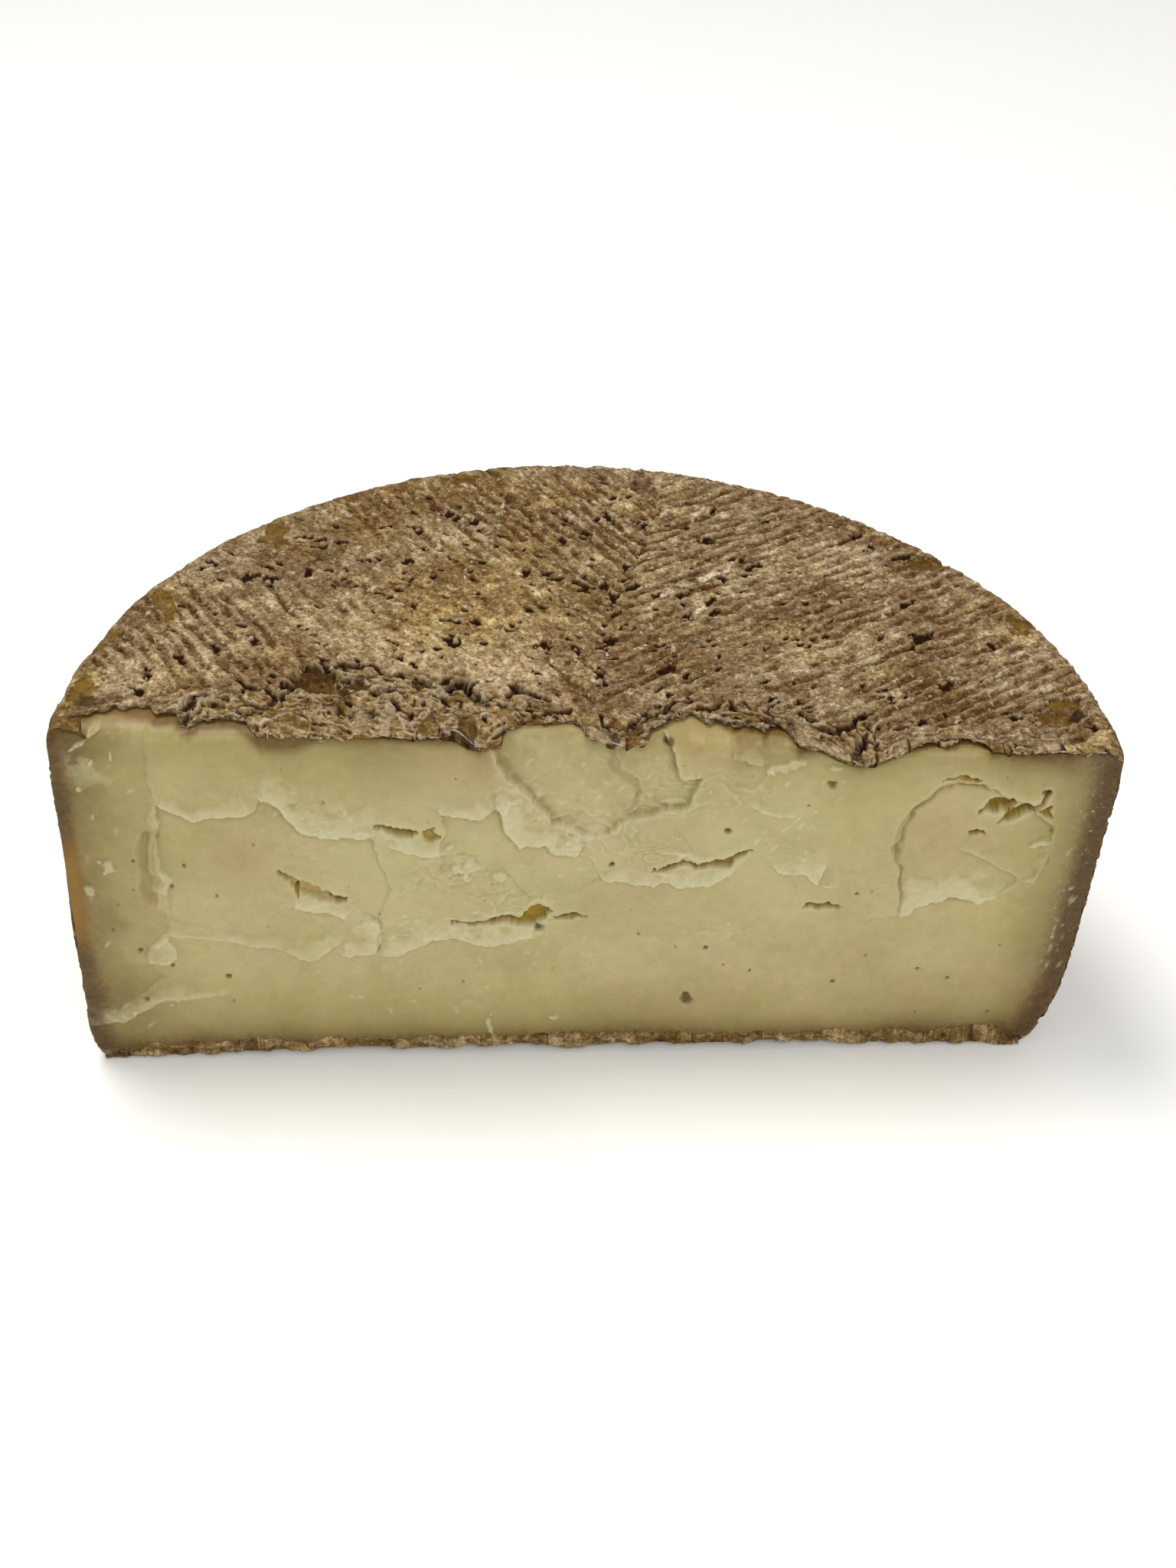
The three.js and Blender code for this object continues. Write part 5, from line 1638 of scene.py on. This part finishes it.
def paste_material():
    material, tree, shader, coords = new_material("waxy paste")
    broad = noise(tree, coords, 48, 2)
    patchy = noise(tree, coords, 15, 3, 0.5, 0.4)
    colour = mix(tree, ramp(tree, broad, [(0.42, 0.0), (0.58, 1.0)]), PASTE_STRAW, PASTE_BEIGE)
    colour = glaze(tree, colour, patchy, [(0.48, 0.0), (0.68, 0.8)], PASTE_OLIVE)
    colour = mottled(tree, colour, coords, 3.2, 0.08)
    # Browner towards the rind, and painted shade under the crust's edge, in one multiplier.
    colour = mix(tree, 1.0, colour, ramp(tree, mark(tree, "ripe_and_shade"), RIPE_AND_SHADE_STOPS), "MULTIPLY")
    dry = mottled(tree, colour, coords, 1.5, 0.4)
    colour = mix(tree, ramp(tree, mark(tree, "ripe_and_shade"), [(0.6, 0.0), (0.95, 1.0)]), colour, dry)
    colour = mix(tree, crumbled(tree, "amber", coords, 5, 0.8, 1.0), colour, AMBER_PASTE)
    # Painted shade: the dents of the cut face are darkened with olive, as shade would lie in them.
    dent_shade = maths(tree, "MULTIPLY", mark(tree, "hollow"), 1.1)
    colour = glaze(tree, colour, dent_shade, [(0.06, 0.0), (0.7, 0.75)], FRECKLE_AND_SHADE_OLIVE)
    torn = crumbled(tree, "torn", coords, 1.7, 0.5, 0.95)
    colour = mix(tree, torn, colour, TORN_CREAM)
    # Painted highlight: the crests and raised edges of the cut face are lightened with cream.
    crest_highlight = maths(tree, "MULTIPLY", mark(tree, "hollow"), -1.3)
    colour = glaze(tree, colour, crest_highlight, [(0.08, 0.0), (0.7, 0.36)], TORN_CREAM)
    flakes = crumbled(tree, "scratched", coords, 4.5, -0.1, 0.22)
    colour = mix(tree, flakes, colour, TORN_CREAM)
    colour = mix(tree, mark(tree, "slot"), colour, SLOT_OCHRE)
    colour = mix(tree, mark(tree, "shade"), colour, SLOT_SHADE)
    colour = mix(tree, mark(tree, "speck"), colour, SPECK_BROWN)
    freckle = noise(tree, coords, 0.8, 2)
    colour = glaze(tree, colour, freckle, [(0.26, 0.3), (0.34, 0.0)], FRECKLE_AND_SHADE_OLIVE)
    plug_in(tree, shader, colour, ramp(tree, torn, [(0.0, 0.42), (1.0, 0.66)]), 0.28)
    shader.inputs["Subsurface Weight"].default_value = 0.2
    shader.inputs["Subsurface Radius"].default_value = (0.0022, 0.0016, 0.0007)
    shader.inputs["Subsurface Scale"].default_value = 1.0
    plug_in_bump(tree, shader, noise(tree, coords, 1.4, 5, 0.65), 0.4, 0.3)
    return material


waxy_paste = paste_material()
print("made", waxy_paste.name)

# %% [markdown]
# ### Rind
#
# Dry and crumbly. The mark "board" gives the direction of the grooves, so a noise stretched
# along it makes strands and flecks that follow them round every chevron. Taupe is the ground
# colour, with straw and lilac-brown patches and an olive cast in places. Hollows hold dark dust
# and painted shade, crests are rubbed paler and carry a painted highlight, pits, cracks and
# holes are painted nearly black as the shade inside them, and where the rind is gone the amber
# under-skin shines a little.

# %% Rind material
RIND_TAUPE = (0.238, 0.162, 0.088)
RIND_STRAW = (0.375, 0.268, 0.145)
RIND_LILAC = (0.17, 0.108, 0.064)
RIND_SOOT = (0.036, 0.017, 0.006)
RIND_PALE = (0.52, 0.41, 0.27)
OLIVE_CAST = (1.02, 0.97, 0.66)
BLOOM_WHITE = (0.68, 0.6, 0.43)
# Near black, painted into pits, cracks and holes as the shade inside them.
PIT_BLACK = (0.019, 0.005, 0.001)
BARE_AMBER = (0.172, 0.098, 0.01)
BARE_BROWN = (0.098, 0.048, 0.006)
# The dark crumbs are redder and the light ones creamier than the middling ones: lightness of the
# colour, and what it is multiplied by.
CRUMB_TINTS = [
    (0.0, (0.95, 0.62, 0.34)),
    (0.04, (0.95, 0.68, 0.4)),
    (0.08, (0.95, 0.84, 0.6)),
    (0.12, (0.97, 0.93, 0.8)),
    (0.16, (0.98, 0.97, 0.9)),
    (0.2, (1.0, 1.02, 1.02)),
    (0.26, (1.03, 1.07, 1.14)),
    (0.32, (1.07, 1.13, 1.28)),
    (0.4, (1.1, 1.18, 1.34)),
]


# What the place on the board is multiplied by, along a groove, across it and from fan to fan.
STRAND_STRETCH = (0.4, 1, 9)


def rind_material():
    material, tree, shader, coords = new_material("crumbly rind")
    board = add(tree, "ShaderNodeAttribute", attribute_name="board").outputs["Vector"]
    links = {0: board, 1: STRAND_STRETCH}
    stretched = add(tree, "ShaderNodeVectorMath", links, operation="MULTIPLY").outputs[0]
    strands = noise(tree, stretched, 1.6, 4, 0.7, 0.3)
    flecks = noise(tree, board, 1.9, 5, 0.75, 0.5)
    broad = noise(tree, coords, 24, 3)
    medium = noise(tree, coords, 6.5, 5, 0.65)
    grain = noise(tree, coords, 1.1, 5, 0.75)
    colour = mix(tree, ramp(tree, broad, [(0.42, 0.0), (0.58, 1.0)]), RIND_TAUPE, RIND_LILAC)
    lighter = maths(tree, "MULTIPLY_ADD", mark(tree, "tone"), 0.17, medium)
    colour = glaze(tree, colour, lighter, [(0.47, 0.0), (0.66, 0.95)], RIND_STRAW)
    colour = glaze(tree, colour, lighter, [(0.32, 0.8), (0.45, 0.0)], RIND_LILAC)
    cast = ramp(tree, broad, [(0.5, 0.0), (0.6, 0.6)])
    cast = maths(tree, "MULTIPLY_ADD", cast, 1.0, mark(tree, "olive"))
    colour = mix(tree, maths(tree, "MULTIPLY", cast, 0.9), colour, OLIVE_CAST, "MULTIPLY")
    streaks = ramp(tree, strands, [(0.33, 0.66), (0.5, 1.0), (0.67, 1.36)])
    colour = mix(tree, 1.0, colour, streaks, "MULTIPLY")
    colour = mottled(tree, colour, coords, 2.4, 0.42)
    colour = mottled(tree, colour, coords, 0.9, 0.66)
    # Crests lighten to straw, as rubbing and as a painted highlight; dents darken to soot, as dust and
    # as painted shade.
    hollow = maths(tree, "MULTIPLY_ADD", mark(tree, "hollow"), 1.2, 0.5)
    colour = glaze(tree, colour, hollow, [(0.1, 0.5), (0.42, 0.0)], RIND_STRAW)
    colour = glaze(tree, colour, hollow, [(0.55, 0.0), (0.95, 0.85)], RIND_SOOT)
    colour = mix(tree, crumbled(tree, "groove", coords, 2, 0.65, 0.3), colour, RIND_SOOT)
    colour = glaze(tree, colour, flecks, [(0.58, 0.0), (0.66, 0.85)], RIND_PALE)
    colour = glaze(tree, colour, flecks, [(0.33, 0.9), (0.4, 0.0)], RIND_SOOT)
    colour = mix(tree, crumbled(tree, "pale", coords, 1.2, 0.15, 0.95), colour, RIND_PALE)
    lightness = add(tree, "ShaderNodeRGBToBW", {"Color": colour}).outputs["Val"]
    colour = mix(tree, 1.0, colour, ramp(tree, lightness, CRUMB_TINTS), "MULTIPLY")
    patches = maths(tree, "MULTIPLY_ADD", mark(tree, "tone"), 0.2, noise(tree, coords, 3.4, 4, 0.65))
    amber = mix(tree, ramp(tree, patches, [(0.36, 0.0), (0.56, 1.0)]), BARE_BROWN, BARE_AMBER)
    crumbs = noise(tree, coords, 1.5, 5, 0.75)
    edge = maths(tree, "MULTIPLY_ADD", mark(tree, "bare"), 0.42, crumbs)
    bare = ramp(tree, edge, [(0.7, 0.0), (0.94, 1.0)])
    amber = mix(tree, ramp(tree, edge, [(0.8, 0.75), (0.96, 0.0)]), amber, BARE_BROWN)
    amber = mottled(tree, amber, coords, 1.6, 0.5)
    colour = mix(tree, bare, colour, amber)
    # The mark "pit" paints pits, cracks, holes and the gaps between flakes and lumps nearly black as
    # the shade inside them; on the wall it also darkens the rind's cut edge at the right.
    colour = mix(tree, mark(tree, "pit"), colour, PIT_BLACK)
    colour = mix(tree, crumbled(tree, "bloom", coords, 1.1, 0.1, 1.1), colour, BLOOM_WHITE)
    plug_in(tree, shader, colour, ramp(tree, bare, [(0.0, 0.9), (1.0, 0.45)]), 0.07)
    plug_in_bump(tree, shader, maths(tree, "MULTIPLY_ADD", strands, 0.4, grain), 0.9, 0.5)
    return material


crumbly_rind = rind_material()
print("made", crumbly_rind.name)

# %% Dress the pieces
for piece, material, slot_name in (
    (paste_left, waxy_paste, "paste"),
    (paste_right, waxy_paste, "paste"),
    *((part, crumbly_rind, "rind") for part in crust),
    (wall, crumbly_rind, "rind"),
    (base, crumbly_rind, "rind"),
):
    piece.data.materials.append(material)
    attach(piece, "root")
    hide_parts(NODE)
print("dressed", NODE)

# %% [markdown]
# ## Floor, light and camera
#
# A pale floor and soft light from above, as in a bright shop. The camera looks down at the cut
# face by about 39 degrees.

# %% Floor
FLOOR_HALF = 4.0
floor_build = bmesh.new()
bmesh.ops.create_grid(floor_build, x_segments=1, y_segments=1, size=FLOOR_HALF)
floor_mesh = bpy.data.meshes.new("floor")
floor_build.to_mesh(floor_mesh)
floor_build.free()
floor = add_object("floor", floor_mesh)
floor_material, _, floor_shader, _ = new_material("pale floor")
floor_shader.inputs["Base Color"].default_value = (0.93, 0.93, 0.92, 1)
floor_shader.inputs["Roughness"].default_value = 0.9
floor_mesh.materials.append(floor_material)
print("floor", FLOOR_HALF * 2, "m wide")

# %% Light
world = bpy.data.worlds.new("soft room")
world.use_nodes = True
background = world.node_tree.nodes["Background"]
background.inputs["Color"].default_value = (1.0, 0.99, 0.97, 1)
background.inputs["Strength"].default_value = 0.6
bpy.context.scene.world = world


def soft_light(name, place, target, size, power, colour):
    lamp = bpy.data.lights.new(name, "AREA")
    lamp.shape = "DISK"
    lamp.size = size
    lamp.energy = power
    lamp.color = colour
    holder = add_object(name, lamp)
    holder.location = place
    aim = np.array(target) - np.array(place)
    holder.rotation_euler = (
        math.acos(-aim[2] / np.linalg.norm(aim)),
        0,
        math.atan2(aim[1], aim[0]) - math.pi / 2,
    )


soft_light("ceiling", (-0.3, 0.2, 1.2), (0, 0, 0.06), 0.5, 9.0, (1.0, 0.98, 0.95))
soft_light("window", (0.25, -1.0, 1.0), (0, 0, 0.05), 0.7, 6.0, (1.0, 0.99, 0.97))

# %% Camera
EYE = (-9.28, -370.04, 383.16)
PITCH_DOWN = 38.777
YAW_RIGHT = 1.24
# Focal length over the picture's height.
FOCAL_SHARE = 2750 / 2048
SENSOR_SIZE = 36
camera_data = bpy.data.cameras.new("camera")
camera_data.sensor_width = SENSOR_SIZE
camera_data.lens = SENSOR_SIZE * FOCAL_SHARE
camera = add_object("camera", camera_data)
camera.location = tuple((np.array(EYE) + np.array([*WHEEL_AXIS, 0])) * MM)
camera.rotation_euler = (math.radians(90 - PITCH_DOWN), 0, math.radians(-YAW_RIGHT))
bpy.context.scene.camera = camera
bpy.context.scene.view_settings.view_transform = "Standard"
print("camera at", tuple(round(value, 4) for value in camera.location))
